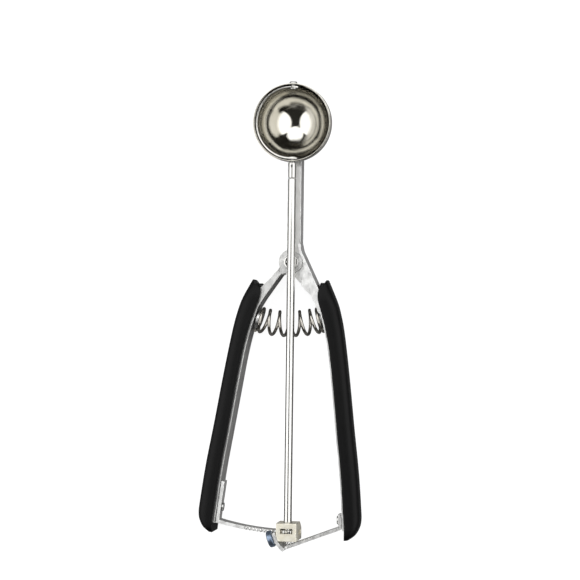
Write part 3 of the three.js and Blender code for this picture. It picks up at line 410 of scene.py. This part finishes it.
DRAWN = (4, 0.12, 4)
PRESSED = (2, 0.4, 2)
SPUN = finish(
    "spun steel", dark=(0.47, 0.455, 0.405), light=(0.6, 0.585, 0.54), rough=(0.05, 0.11), scale=900,
    relief=0.05, edge=0.15, clouding=70,
)
turning_marks(SPUN, BOWL_CENTRE, rings=60, relief=1.3)
POLISHED = finish(
    "polished steel", dark=(0.47, 0.465, 0.45), light=(0.56, 0.555, 0.54), rough=(0.06, 0.13), scale=900,
    relief=0.08, edge=0.2, stretch=DRAWN, marks=(0.36, 0.36, 0.35),
)
BRUSHED = finish(
    "brushed steel", dark=(0.5, 0.49, 0.46), light=(0.62, 0.61, 0.58), rough=(0.16, 0.3), scale=700,
    relief=0.2, edge=0.2, stretch=DRAWN, marks=(0.36, 0.35, 0.33),
)
SATIN = finish(
    "satin steel", dark=(0.56, 0.56, 0.55), light=(0.74, 0.74, 0.73), rough=(0.26, 0.4), scale=900,
    relief=0.08, edge=0.25, stretch=PRESSED, marks=(0.48, 0.48, 0.47), clouding=160, ripple=0.55,
)
# Painted light: a lighter copy of the satin steel. Its colour is raised to stand in for light falling on
# the right frame's neck, the stay arm and the rack arm.
PAINTED_LIGHT_STEEL = finish(
    "steel with painted light", dark=(0.78, 0.78, 0.77), light=(0.95, 0.95, 0.94), rough=(0.28, 0.42), scale=900,
    relief=0.08, edge=0.25, stretch=PRESSED, marks=(0.68, 0.68, 0.67), clouding=160, ripple=0.55,
)
CAST = finish(
    "cast metal", dark=(0.8, 0.74, 0.56), light=(1.0, 0.98, 0.9), rough=(0.26, 0.42), scale=420,
    relief=0.4, edge=0.4, metallic=0.6, clouding=330, ripple=0.5,
)
BLUED = finish(
    "blued steel", dark=(0.14, 0.18, 0.25), light=(0.3, 0.38, 0.5), rough=(0.25, 0.42), scale=800,
    relief=0.3, edge=0.4, stretch=(1, 1, 5), metallic=0.9, clouding=200,
)
WIRE = finish(
    "spring wire", dark=(0.3, 0.28, 0.25), light=(0.52, 0.5, 0.46), rough=(0.14, 0.28), scale=1500,
    relief=0.15, edge=0.1,
)
RUBBER = finish(
    "black rubber", dark=(0.0014, 0.0014, 0.0015), light=(0.0026, 0.0026, 0.0028), rough=(0.36, 0.5),
    scale=2600, relief=0.4, edge=0.3, metallic=0.0, specular=0.13, marks=(0.005, 0.005, 0.0052),
    clouding=120,
)


# Shaping
def turned(outline, origin, direction, steps=96):
    """A closed shape spun from (radius, height) pairs about a direction, from one end to the other."""
    shape = bmesh.new()
    line = [shape.verts.new((radius, 0, height)) for radius, height in outline]
    edges = [shape.edges.new(pair) for pair in zip(line, line[1:])]
    bmesh.ops.spin(shape, geom=line + edges, cent=(0, 0, 0), axis=UPWARD, angle=2 * math.pi, steps=steps,
                   use_merge=True)
    bmesh.ops.remove_doubles(shape, verts=shape.verts, dist=WELD)
    bmesh.ops.holes_fill(shape, edges=shape.edges, sides=0)
    turn = UPWARD.rotation_difference(Vector(direction)).to_matrix().to_4x4()
    bmesh.ops.transform(shape, matrix=Matrix.Translation(origin) @ turn, verts=shape.verts)
    return shape


def arc(across, along, radius, first, last, steps=5):
    """Points of an arc between two angles in degrees."""
    angles = [math.radians(first + (last - first) * i / steps) for i in range(steps + 1)]
    return [(across + radius * math.cos(a), along + radius * math.sin(a)) for a in angles]


def rounded_end(radius, height, edge, upward):
    """The outline of a bar's end with a rounded rim, read towards or away from the axis."""
    if upward:
        return [*arc(radius - edge, height - edge, edge, 0, 90), (0, height)]
    return [(0, height), *arc(radius - edge, height + edge, edge, -90, 0)]


def drill(radius, low, high, origin, direction, steps=64):
    """A round cutter along a direction."""
    outline = rounded_end(radius, low, DRILL_EDGE, False) + rounded_end(radius, high, DRILL_EDGE, True)
    return turned(outline, origin, direction, steps)


def plate(outline, low, high):
    """A flat plate between two heights."""
    shape = bmesh.new()
    face = shape.faces.new([shape.verts.new((x, y, low)) for x, y in outline])
    raised = bmesh.ops.extrude_face_region(shape, geom=[face])["geom"]
    moved = [part for part in raised if isinstance(part, bmesh.types.BMVert)]
    bmesh.ops.translate(shape, vec=(0, 0, high - low), verts=moved)
    bmesh.ops.holes_fill(shape, edges=shape.edges, sides=0)
    return shape


def bridged(rings):
    """A closed shape through rings of points, flat at both ends."""
    shape = bmesh.new()
    loops = []
    for ring in rings:
        corners = [shape.verts.new(point) for point in ring]
        loops.append([shape.edges.new((a, b)) for a, b in zip(corners, corners[1:] + corners[:1])])
    for here, after in zip(loops, loops[1:]):
        bmesh.ops.bridge_loops(shape, edges=here + after)
    bmesh.ops.holes_fill(shape, edges=shape.edges, sides=0)
    return shape


def new_object(name, shape, material):
    """Makes an object of a shape drawn in millimetres from the hinge."""
    bmesh.ops.recalc_face_normals(shape, faces=shape.faces)
    bmesh.ops.transform(shape, matrix=TO_SCENE, verts=shape.verts)
    mesh = bpy.data.meshes.new(name)
    shape.to_mesh(mesh)
    shape.free()
    obj = bpy.data.objects.new(name, mesh)
    bpy.context.scene.collection.objects.link(obj)
    mesh.materials.append(material)
    soften(obj)
    return obj


def soften(obj, degrees=SHARP_DEGREES):
    """Shades an object smooth, but for the edges that turn by more than some degrees."""
    obj.data.shade_smooth()
    obj.data.set_sharp_from_angle(angle=math.radians(degrees))


def apply_modifiers(obj):
    """Makes an object's modifiers part of its mesh."""
    bpy.context.view_layer.update()
    evaluated = obj.evaluated_get(bpy.context.evaluated_depsgraph_get())
    mesh = bpy.data.meshes.new_from_object(evaluated)
    obj.modifiers.clear()
    obj.data = mesh


def even_shading(obj):
    """Flat faces stay flat in the light, and only the roundings between them turn."""
    modifier = obj.modifiers.new("shading", "WEIGHTED_NORMAL")
    modifier.keep_sharp = True
    apply_modifiers(obj)


def cut_away(obj, *shapes):
    """Takes shapes out of an object."""
    for shape in shapes:
        tool = new_object("tool", shape, obj.data.materials[0])
        modifier = obj.modifiers.new("cut", "BOOLEAN")
        modifier.operation = "DIFFERENCE"
        modifier.solver = "EXACT"
        modifier.object = tool
        apply_modifiers(obj)
        bpy.data.objects.remove(tool)
    soften(obj)


def round_edges(obj, radius, segments=2):
    """Rounds an object's sharp edges."""
    modifier = obj.modifiers.new("rounding", "BEVEL")
    modifier.width = radius * MM
    modifier.segments = segments
    modifier.limit_method = "ANGLE"
    modifier.angle_limit = math.radians(BEVELLED_DEGREES)
    apply_modifiers(obj)
    soften(obj, ROUNDED_SHARP_DEGREES)
    even_shading(obj)


def settle(obj, body, *nodes):
    """The piece rides on a body and stands for CAD nodes."""
    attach(obj, body)
    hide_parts(*nodes)


def refined(node, name, material, body, radius, segments=2):
    """A CAD node's own shape with its facets joined and its edges rounded."""
    shape = bmesh.new()
    shape.from_mesh(frame["nodes"][node].data)
    bmesh.ops.remove_doubles(shape, verts=shape.verts, dist=2 * WELD * MM)
    flat = math.radians(FACET_DEGREES)
    bmesh.ops.dissolve_limit(shape, angle_limit=flat, verts=shape.verts, edges=shape.edges)
    bmesh.ops.transform(shape, matrix=TO_SCENE.inverted(), verts=shape.verts)
    obj = new_object(name, shape, material)
    round_edges(obj, radius, segments)
    settle(obj, body, node)


# Bowl: a spun cup with a short straight lip, its cut edge broken
def make_bowl():
    outside = arc(0, 0, BOWL_RADIUS, -90, 0, steps=40)
    inside = arc(0, 0, BOWL_INSIDE, 0, -90, steps=40)
    rim_height = BOWL_LIP - BOWL_RIM_EDGE
    rim = (arc(BOWL_RADIUS - BOWL_RIM_EDGE, rim_height, BOWL_RIM_EDGE, 0, 90, steps=3)
           + arc(BOWL_INSIDE + BOWL_RIM_EDGE, rim_height, BOWL_RIM_EDGE, 90, 180, steps=3))
    bowl = new_object("bowl_cup", turned(outside + rim + inside, BOWL_CENTRE, UPWARD, steps=160), SPUN)
    cut_away(
        bowl,
        drill(PIN_RADIUS + GAP, BOWL_INSIDE - OVERRUN, BOWL_RADIUS + OVERRUN, BOWL_CENTRE, ALONG_Y),
        drill(JOURNAL_RADIUS + GAP, -BOWL_RADIUS - OVERRUN, OVERRUN - BOWL_INSIDE, BOWL_CENTRE, ALONG_Y),
    )
    soften(bowl, ROUNDED_SHARP_DEGREES)
    even_shading(bowl)
    settle(bowl, "right_handle", "bowl")


# Wiper: a strip of a sphere from pivot to pivot, with round ends
def make_wiper():
    half = WIPER_WIDTH / 2
    across_steps, around_steps = 12, 120
    quarter = math.pi / 2
    shape = bmesh.new()
    heights = [half * (2 * i / across_steps - 1) for i in range(across_steps + 1)]
    line = [shape.verts.new((0, -math.sqrt(WIPER_OUTER**2 - t * t), t)) for t in heights]
    edges = [shape.edges.new(pair) for pair in zip(line, line[1:])]
    bmesh.ops.spin(shape, geom=line + edges, cent=(0, 0, 0), axis=UPWARD, angle=-math.pi,
                   steps=around_steps)
    for corner in shape.verts:
        radius = math.hypot(corner.co.x, corner.co.y)
        past_end = math.asin(math.sqrt(max(half * half - corner.co.z**2, 0)) / radius)
        angle = math.atan2(corner.co.y, -corner.co.x) * (quarter + past_end) / quarter
        corner.co.x = -radius * math.cos(angle)
        corner.co.y = radius * math.sin(angle)
    tilt = Matrix.Rotation(-math.radians(WIPER_REST_DEGREES), 4, "Y")
    bmesh.ops.transform(shape, matrix=Matrix.Translation(BOWL_CENTRE) @ tilt, verts=shape.verts)
    wiper = new_object("wiper_band", shape, BRUSHED)
    thicken = wiper.modifiers.new("thickness", "SOLIDIFY")
    thicken.thickness = WIPER_THICKNESS * MM
    centre = TO_SCENE @ BOWL_CENTRE
    face = wiper.data.polygons[0]
    thicken.offset = -1 if (face.center - centre).dot(face.normal) > 0 else 1
    apply_modifiers(wiper)
    cut_away(
        wiper,
        drill(PIN_RADIUS + GAP, 0, WIPER_OUTER + OVERRUN, BOWL_CENTRE, ALONG_Y),
        drill(JOURNAL_RADIUS + GAP, -WIPER_OUTER - OVERRUN, 0, BOWL_CENTRE, ALONG_Y),
    )
    round_edges(wiper, WIPER_EDGE)
    settle(wiper, "wiper_rod", "wiper")


def make_wiper_pin():
    inner_end = WIPER_INNER - GAP
    head = BOWL_RADIUS + GAP
    outline = (rounded_end(PIN_HEAD_RADIUS, inner_end - JOURNAL_HEAD_HEIGHT, PIN_EDGE, False)
               + [(PIN_HEAD_RADIUS, inner_end), (PIN_RADIUS, inner_end), (PIN_RADIUS, head),
                  (PIN_HEAD_RADIUS, head)]
               + rounded_end(PIN_HEAD_RADIUS, head + PIN_HEAD_HEIGHT, PIN_CROWN, True))
    pin = new_object("tip_pin", turned(outline, BOWL_CENTRE, ALONG_Y, steps=48), POLISHED)
    settle(pin, "right_handle", "wiper_tip_pin")


# Rod and the slotted shank at its bowl end
def make_shank():
    socket_end = SHANK_FOOT + SOCKET_DEPTH
    hub = BOWL_DISTANCE - WIPER_INNER + GAP
    outline = (rounded_end(ROD_RADIUS, SHANK_FOOT, ROD_EDGE, False)
               + rounded_end(ROD_RADIUS, SHANK_TOP, ROD_EDGE, True)[:-1]
               + [(JOURNAL_RADIUS, SHANK_TOP), (JOURNAL_RADIUS, hub), (JOURNAL_HEAD_RADIUS, hub)]
               + rounded_end(JOURNAL_HEAD_RADIUS, hub + JOURNAL_HEAD_HEIGHT, ROD_EDGE, True))
    shank = new_object("rod_shank", turned(outline, ROD_LINE, ALONG_Y, steps=64), POLISHED)
    left, right = ROD_OFFSET - SHANK_SLOT_WIDTH / 2, ROD_OFFSET + SHANK_SLOT_WIDTH / 2
    low, high = socket_end + SHEET, SHANK_TOP - SHEET
    slot = [(left, low), (right, low), (right, high), (left, high)]
    cut_away(
        shank,
        plate(slot, ROD_HEIGHT + ROD_RADIUS / 2, ROD_HEIGHT + ROD_RADIUS + OVERRUN),
        drill(SPIGOT_RADIUS + GAP, SHANK_FOOT - OVERRUN, socket_end, ROD_LINE, ALONG_Y, steps=32),
    )
    settle(shank, "wiper_rod", "wiper_shank")


def make_rod():
    top = SHANK_FOOT - GAP
    shoulder = PINION_TOP + GAP
    low = HOUSING_FOOT - GAP - CLIP_HEIGHT - 2 * GAP
    outline = (rounded_end(JOURNAL_RADIUS, low, ROD_FOOT_EDGE, False)
               + [(JOURNAL_RADIUS, shoulder), (ROD_RADIUS, shoulder)]
               + rounded_end(ROD_RADIUS, top, ROD_EDGE, True)[:-1] + [(SPIGOT_RADIUS, top)]
               + rounded_end(SPIGOT_RADIUS, top + SOCKET_DEPTH - GAP, SPIGOT_EDGE, True))
    rod = new_object("centre_rod", turned(outline, ROD_LINE, ALONG_Y, steps=80), POLISHED)
    settle(rod, "wiper_rod", "rod")


# The line of a leg, as shares of the handle's spread and length
RUN_SHARES = [
    (0.424, 0.136), (0.529, 0.176), (0.623, 0.25), (0.699, 0.336), (0.772, 0.463),
    (0.855, 0.634), (0.935, 0.791), (0.986, 0.94), (1, 1),
]
RIGHT_START = (0.185, 0.086)
LEFT_START = (0.163, 0.047)


def smooth_row(rows, at):
    """Values between rows, on a smooth curve through them."""
    low = min(int(at), len(rows) - 2)
    before, here, after, beyond = (rows[min(max(low + i, 0), len(rows) - 1)] for i in (-1, 0, 1, 2))
    t = at - low
    values = []
    for b, h, a, y in zip(before, here, after, beyond):
        slope_here, slope_after = (a - b) / 2, (y - h) / 2
        values.append((2 * t**3 - 3 * t**2 + 1) * h + (t**3 - 2 * t**2 + t) * slope_here
                      + (3 * t**2 - 2 * t**3) * a + (t**3 - t**2) * slope_after)
    return values


def run_line(start, steps=40):
    """The leg's line as a fine list of points."""
    rows = [(x * HANDLE_SPREAD, -y * HANDLE_LENGTH) for x, y in [start] + RUN_SHARES]
    return [Vector(smooth_row(rows, i / steps)) for i in range((len(rows) - 1) * steps + 1)]


RIGHT_RUN = run_line(RIGHT_START)
LEFT_RUN = run_line(LEFT_START)


def line_length(line):
    return sum((b - a).length for a, b in zip(line, line[1:]))


def run_at(line, share):
    """Point and outward normal at a share of a line's length."""
    goal = share * line_length(line)
    for a, b in zip(line, line[1:]):
        step = (b - a).length
        if goal <= step or b is line[-1]:
            tangent = (b - a).normalized()
            return a.lerp(b, goal / step), Vector((-tangent.y, tangent.x))
        goal -= step


def to_left(v):
    """A place or direction of the right leg's drawing, mirrored and opened as the left leg is."""
    turned_place = Vector((-v.x, v.y))
    turned_place.rotate(Matrix.Rotation(-math.radians(OPEN_DEGREES), 2))
    return turned_place


def unmoved(v):
    return v


# Each leg: its line, how its drawing is placed, and the body that it belongs to
LEGS = {"right": (RIGHT_RUN, unmoved, "right_handle"), "left": (LEFT_RUN, to_left, "left_handle")}


def seat_share(side):
    """The share of a leg's line as far below the hinge as the spring's axis."""
    line, placed, _ = LEGS[side]
    steps = 2000
    return min((i / steps for i in range(1, steps // 2)),
               key=lambda share: abs(placed(run_at(line, share)[0]).y + SPRING_SEAT_SHARE * HANDLE_LENGTH))


SEATS = {side: seat_share(side) for side in LEGS}


def on_web(side, share, height):
    """Place and outward direction on a leg's inner face."""
    line, placed, _ = LEGS[side]
    point, normal = run_at(line, share)
    return Vector((*placed(point), height)), Vector((*placed(normal), 0))


# Spring: an unbroken coil on a curved axis between the legs
def spring_axis():
    inset = SPRING_STANDOFF + WIRE_RADIUS
    left, left_normal = on_web("left", SEATS["left"], FRAME_MIDDLE)
    right, right_normal = on_web("right", SEATS["right"], FRAME_MIDDLE)
    left -= left_normal * inset
    right -= right_normal * inset
    reach = (right - left).length * SPRING_BOW_SHARE
    control = [left, left - left_normal * reach, right - right_normal * reach, right]
    steps = 300
    axis = []
    for i in range(steps + 1):
        t = i / steps
        axis.append((1 - t)**3 * control[0] + 3 * t * (1 - t)**2 * control[1]
                    + 3 * t**2 * (1 - t) * control[2] + t**3 * control[3])
    return [p.xy for p in axis]


def coil_centres(axis):
    middle_length = line_length(axis) - 2 * SPRING_END_PITCH
    middle_turns = max(round(middle_length / SPRING_MIDDLE_PITCH), 1)
    per_turn = 28
    centres = []
    for i in range((middle_turns + 2) * per_turn + 1):
        turn = i / per_turn
        along = (min(turn, 1) * SPRING_END_PITCH
                 + min(max(turn - 1, 0), middle_turns) * middle_length / middle_turns
                 + max(turn - 1 - middle_turns, 0) * SPRING_END_PITCH)
        point, side = run_at(axis, min(along / line_length(axis), 1))
        angle = 2 * math.pi * turn + math.pi
        place = point + side * COIL_RADIUS * math.cos(angle)
        centres.append(Vector((*place, FRAME_MIDDLE + COIL_RADIUS * math.sin(angle))))
    return centres


def make_spring():
    axis = spring_axis()
    centres = coil_centres(axis)
    wire_sides = 16
    rings = []
    side = UPWARD
    for i, centre in enumerate(centres):
        along = (centres[min(i + 1, len(centres) - 1)] - centres[max(i - 1, 0)]).normalized()
        side = (side - along * side.dot(along)).normalized()
        other = along.cross(side)
        turns = [2 * math.pi * k / wire_sides for k in range(wire_sides)]
        rings.append([centre + (side * math.cos(a) + other * math.sin(a)) * WIRE_RADIUS for a in turns])
    spring = new_object("spring_wire", bridged(rings), WIRE)
    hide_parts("spring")
    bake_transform(spring)


# Rivets, studs and the screw
def make_hinge_rivet():
    front = RIVET_FRONT + RIVET_HEAD_HEIGHT
    dish = [(RIVET_RADIUS + DISH_BEVEL, front), (RIVET_RADIUS, front - DISH_BEVEL),
            (DISH_FLOOR_RADIUS, front - DISH_DEPTH), (0, front - DISH_CENTRE_DEPTH)]
    outline = (rounded_end(RIVET_HEAD_RADIUS, RIVET_BACK - RIVET_HEAD_HEIGHT, RIVET_EDGE, False)
               + [(RIVET_HEAD_RADIUS, RIVET_BACK), (RIVET_RADIUS, RIVET_BACK), (RIVET_RADIUS, RIVET_FRONT),
                  (RIVET_HEAD_RADIUS, RIVET_FRONT)]
               + rounded_end(RIVET_HEAD_RADIUS, front, RIVET_EDGE, True)[:-1] + dish)
    rivet = new_object("hinge_rivet_turned", turned(outline, Vector((0, 0, 0)), UPWARD), POLISHED)
    settle(rivet, "right_handle", "hinge_rivet")


def make_arm_rivet(side, node, rise, height):
    line, _, body = LEGS[side]
    origin, outward = on_web(side, FOOT_SHARE - rise / line_length(line), height)
    inner, outer = -ARM_THICKNESS - 2 * GAP, SHEET + GAP
    outline = (rounded_end(ARM_RIVET_HEAD_RADIUS, inner - ARM_RIVET_HEAD_HEIGHT, ARM_RIVET_EDGE, False)
               + [(ARM_RIVET_HEAD_RADIUS, inner), (ARM_RIVET_RADIUS, inner), (ARM_RIVET_RADIUS, outer),
                  (ARM_RIVET_HEAD_RADIUS, outer)]
               + rounded_end(ARM_RIVET_HEAD_RADIUS, outer + ARM_RIVET_HEAD_HEIGHT, ARM_RIVET_EDGE, True))
    rivet = new_object(f"{node}_turned", turned(outline, origin, outward, steps=48), SATIN)
    settle(rivet, body, node)


def make_stud(side):
    body = LEGS[side][2]
    origin, outward = on_web(side, SEATS[side], FRAME_MIDDLE)
    outer = SHEET + GAP
    outline = (rounded_end(STUD_RADIUS, -STUD_STANDOFF - STUD_LENGTH, STUD_EDGE, False)
               + [(STUD_RADIUS, -STUD_STANDOFF), (STUD_SHANK_RADIUS, -STUD_STANDOFF),
                  (STUD_SHANK_RADIUS, outer), (STUD_HEAD_RADIUS, outer)]
               + rounded_end(STUD_HEAD_RADIUS, outer + STUD_HEAD_HEIGHT, STUD_HEAD_EDGE, True))
    stud = new_object(f"{side}_stud_turned", turned(outline, origin, outward, steps=64), SATIN)
    settle(stud, body, f"{side}_spring_stud")


def make_screw():
    tilt = math.radians(LUG_DEGREES)
    upward = Vector((-math.sin(tilt), math.cos(tilt), 0))
    outward = Vector((-math.cos(tilt), -math.sin(tilt), 0))
    start = ARM_THICKNESS / 2 + GAP
    corner = Vector((ROD_OFFSET - CORNER_CUT_REACH, HOUSING_FOOT + CORNER_CUT_RISE, SCREW_HEIGHT))
    knee = corner + outward * start
    knee += upward * (HOUSING_FOOT - KNEE_DROP - knee.y) / upward.y
    origin = knee + upward * SCREW_RISE
    outline = (rounded_end(SCREW_RADIUS, -start - SCREW_DEPTH, SCREW_TIP_EDGE, False)
               + [(SCREW_RADIUS, start), (SCREW_HEAD_RADIUS - SCREW_HEAD_BEVEL, start),
                  (SCREW_HEAD_RADIUS, start + SCREW_HEAD_BEVEL)]
               + rounded_end(SCREW_HEAD_RADIUS, start + SCREW_HEAD_THICKNESS, SCREW_HEAD_CROWN, True))
    screw = new_object("stay_screw_turned", turned(outline, origin, outward), BLUED)
    slot_size = (2 * SCREW_SLOT_DEPTH, SCREW_SLOT_LENGTH, SCREW_SLOT_WIDTH, 1)
    slot = bmesh.new()
    bmesh.ops.create_cube(slot, size=1, matrix=Matrix.Diagonal(slot_size))
    face = Matrix.Translation(origin + outward * (start + SCREW_HEAD_THICKNESS))
    bmesh.ops.transform(slot, matrix=face @ Matrix.Rotation(tilt, 4, "Z"), verts=slot.verts)
    cut_away(screw, slot)
    settle(screw, "right_handle", "stay_screw")


# Grips: rounded sections between an inner and an outer edge, from the hinge end to the foot. Each row has
# the inner edge across and along, the width, the rise of the outer edge and the depth, all as shares.
GRIP_ROWS = [
    (0.471, 0.112, 0.833, 0.06, 0.94), (0.478, 0.142, 1.048, 0, 1), (0.529, 0.179, 1.06, 0.06, 1),
    (0.623, 0.25, 0.976, 0.18, 1), (0.699, 0.336, 0.93, 0.12, 1), (0.772, 0.463, 0.93, 0.12, 1),
    (0.855, 0.634, 0.95, 0.12, 1), (0.935, 0.791, 0.976, 0.12, 1), (0.986, 0.94, 0.99, 0.2, 1),
    (1, 0.978, 0.955, 0.16, 1), (1.003, 1.002, 0.85, 0.14, 1), (1.002, 1.022, 0.62, 0.07, 0.96),
    (0.998, 1.036, 0.27, 0.02, 0.84),
]
# The section of a grip: across from its inner edge, and up from its back. It is fullest near the front.
GRIP_SECTION = [
    (0, 0.05), (0.06, 0), (0.5, 0), (0.77, 0.05), (0.89, 0.17), (0.95, 0.38), (0.99, 0.6),
    (1, 0.77), (0.93, 0.9), (0.74, 0.975), (0.45, 1), (0.06, 1), (0, 0.95),
]
# The hinge ends differ: each has its first row, and its notch as a share across and a depth in millimetres
GRIP_TOPS = {"right": (0.518, 0.077, 0.36, 0.18, 0.8), "left": (0.522, 0.0905, 0.43, 0.23, 0.8)}
NOTCHES = {"right": (0.42, 1.3), "left": (0.53, 0.3)}
# The leg's raised face near the hinge, which the grip leaves room for, as shares of spread and length
LEG_ROOM = [(0.192, 0.041), (0.478, -0.084), (0.73, -0.19), (0.52, -0.19), (0.27, -0.115)]


def strip_outline(line, near, far, steps=60):
    """The outline of a strip beside a leg's line. far is a length or a function of the share."""
    near_side, far_side = [], []
    for i in range(steps + 1):
        share = i / steps
        point, normal = run_at(line, share)
        near_side.append(point + normal * near)
        far_side.append(point + normal * (far(share) if callable(far) else far))
    return near_side + far_side[::-1]


def flange_at(share):
    """The flange's width and its gap at a share of the leg's line."""
    t = min(share / FLANGE_GROWTH_SHARE, 1)
    return FLANGE_TOP_WIDTH + (FLANGE_WIDTH - FLANGE_TOP_WIDTH) * t * t * (3 - 2 * t) + GAP


def grip_section():
    """The section's points, rounder than the solid's."""
    steps = 4
    rows = GRIP_SECTION
    points = [smooth_row(rows, i / steps) for i in range((len(rows) - 1) * steps + 1)]
    return [(min(max(u, 0), 1), min(max(v, 0), 1)) for u, v in points]


def grip_edges(across, along, width, rise):
    """The inner and the outer edge of a grip's row."""
    inner = Vector((across * HANDLE_SPREAD + GRIP_REVEAL, -along * HANDLE_LENGTH))
    return inner, inner + Vector((width, rise)) * GRIP_WIDTH


def grip_rings(side):
    """The sections of a grip, one ring after another."""
    placed = LEGS[side][1]
    rows = [GRIP_TOPS[side]] + GRIP_ROWS
    steps = 6
    section = grip_section()
    rings = []
    for i in range((len(rows) - 1) * steps + 1):
        across, along, width, rise, depth = smooth_row(rows, i / steps)
        inner, outer = grip_edges(across, along, width, rise)
        height = GRIP_DEPTH * min(depth, 1)
        base = (GRIP_DEPTH - height) / 2
        rings.append([Vector((*placed(inner.lerp(outer, u)), base + v * height)) for u, v in section])
    return rings


def grip_notch(side):
    """The outline of the notch in a grip's hinge end."""
    inner, outer = grip_edges(*GRIP_TOPS[side][:4])
    share, depth = NOTCHES[side]
    across = outer.x - inner.x
    tip = NOTCH_TIP / across
    inner_tip, outer_tip = inner.lerp(outer, tip), inner.lerp(outer, 1 - tip)
    above = Vector((0, OVERRUN))
    low = Vector((inner.x + share * across, inner.y - depth))
    return [inner_tip + above, inner_tip, low, outer_tip, outer_tip + above]


def make_grip(side):
    line, placed, body = LEGS[side]
    grip = new_object(f"{side}_grip_rubber", bridged(grip_rings(side)), RUBBER)
    low, high = CHANNEL_BACK - GAP, CHANNEL_FRONT + GAP
    flange = [placed(p) for p in strip_outline(line, -GAP, flange_at)]
    web = [placed(p) for p in strip_outline(line, -GAP, SHEET + GAP)]
    room = [Vector((x * HANDLE_SPREAD, y * HANDLE_LENGTH)) for x, y in LEG_ROOM]
    middle = sum(room, Vector((0, 0))) / len(room)
    room = [placed(p + (p - middle).normalized() * 2 * GAP) for p in room]
    cut_away(
        grip,
        plate([placed(p) for p in grip_notch(side)], -OVERRUN, GRIP_DEPTH + OVERRUN),
        plate(web, low, high),
        plate(flange, low, low + SHEET + 2 * GAP),
        plate(flange, high - SHEET - 2 * GAP, high),
        plate(room, low, high),
    )
    soften(grip, ROUNDED_SHARP_DEGREES)
    settle(grip, body, f"{side}_grip")


# CAD nodes that keep their own solids, inside the housing
NODE_LOOKS = {SATIN: ["pinion", "pinion_pin", "rod_end_clip"]}


def dress_nodes():
    for material, names in NODE_LOOKS.items():
        for name in names:
            for entry in frame["nodes"][name].material_slots:
                entry.link = "OBJECT"
                entry.material = material


# Floor, lights and camera
def make_floor():
    """A wide tabletop under the scoop."""
    corners = [(-FLOOR_REACH, -FLOOR_REACH), (FLOOR_REACH, -FLOOR_REACH), (FLOOR_REACH, FLOOR_REACH),
               (-FLOOR_REACH, FLOOR_REACH)]
    floor = new_object("floor", plate(corners, -FLOOR_THICKNESS, 0), floor_finish())


def make_world():
    """A dim room that the metal mirrors, and a white backdrop that the camera sees."""
    world = bpy.data.worlds.new("studio")
    world.use_nodes = True
    tree = world.node_tree
    room = tree.nodes["Background"]
    room.inputs["Color"].default_value = (*ROOM_COLOUR, 1)
    backdrop = add_node(tree, "ShaderNodeBackground")
    backdrop.inputs["Color"].default_value = (1, 1, 1, 1)
    seen_differently(tree, room.outputs["Background"], backdrop.outputs["Background"], "World Output")
    bpy.context.scene.world = world


def softbox(name, azimuth, elevation, width, length, brightness):
    """A soft oval panel, a metre from the scoop and facing it, longer towards the top of the room."""
    around, above = math.radians(azimuth), math.radians(elevation)
    away = Vector((math.cos(above) * math.cos(around), math.cos(above) * math.sin(around), math.sin(above)))
    data = bpy.data.lights.new(name, "AREA")
    data.shape = "ELLIPSE"
    data.size = width
    data.size_y = length
    area = math.pi / 4 * width * length
    data.energy = brightness * math.pi * area
    light = bpy.data.objects.new(name, data)
    light.location = TO_SCENE @ Vector((0, 0, 0)) + away
    light.rotation_euler = away.to_track_quat("Z", "Y").to_euler()
    light.visible_camera = False
    bpy.context.scene.collection.objects.link(light)


def make_lights():
    make_world()
    for panel in SOFTBOXES:
        softbox(*panel)


def make_camera():
    yaw, roll = math.radians(CAMERA_YAW_DEGREES), math.radians(CAMERA_ROLL_DEGREES)
    back = Vector((math.sin(yaw), 0, math.cos(yaw)))
    right = ALONG_Y.cross(back).normalized()
    up = back.cross(right)
    across = right * math.cos(roll) + up * math.sin(roll)
    top = up * math.cos(roll) - right * math.sin(roll)
    aim = TO_SCENE @ Vector((ROD_OFFSET + AIM_ACROSS, AIM_ALONG, ROD_HEIGHT))
    camera = bpy.data.objects.new("camera", bpy.data.cameras.new("camera"))
    camera.data.lens = CAMERA_FOCAL
    camera.data.sensor_width = CAMERA_SENSOR
    camera.data.clip_start = CAMERA_NEAR
    rotation = Matrix((across, top, back)).transposed().to_4x4()
    camera.matrix_world = Matrix.Translation(aim + back * CAMERA_DISTANCE) @ rotation
    bpy.context.scene.collection.objects.link(camera)
    bpy.context.scene.camera = camera


make_camera()
make_floor()
make_lights()
bpy.context.scene.view_settings.view_transform = "Standard"
make_bowl()
make_wiper()
make_wiper_pin()
make_shank()
make_rod()
make_spring()
make_hinge_rivet()
make_arm_rivet("right", "stay_arm_rivet", STAY_RIVET_RISE, STAY_RIVET_HEIGHT)
make_arm_rivet("left", "rack_arm_rivet", RACK_RIVET_RISE, RACK_RIVET_HEIGHT)
make_stud("right")
make_stud("left")
make_screw()
make_grip("right")
make_grip("left")
refined("right_frame", "right_frame_steel", PAINTED_LIGHT_STEEL, "right_handle", FRAME_EDGE)
refined("left_frame", "left_frame_steel", SATIN, "left_handle", FRAME_EDGE)
refined("stay_arm", "stay_arm_steel", PAINTED_LIGHT_STEEL, "right_handle", STAY_EDGE, segments=3)
refined("rack_arm", "rack_arm_steel", PAINTED_LIGHT_STEEL, "left_handle", RACK_EDGE, segments=1)
refined("gear_housing", "gear_housing_cast", CAST, "right_handle", HOUSING_EDGE, segments=3)
dress_nodes()
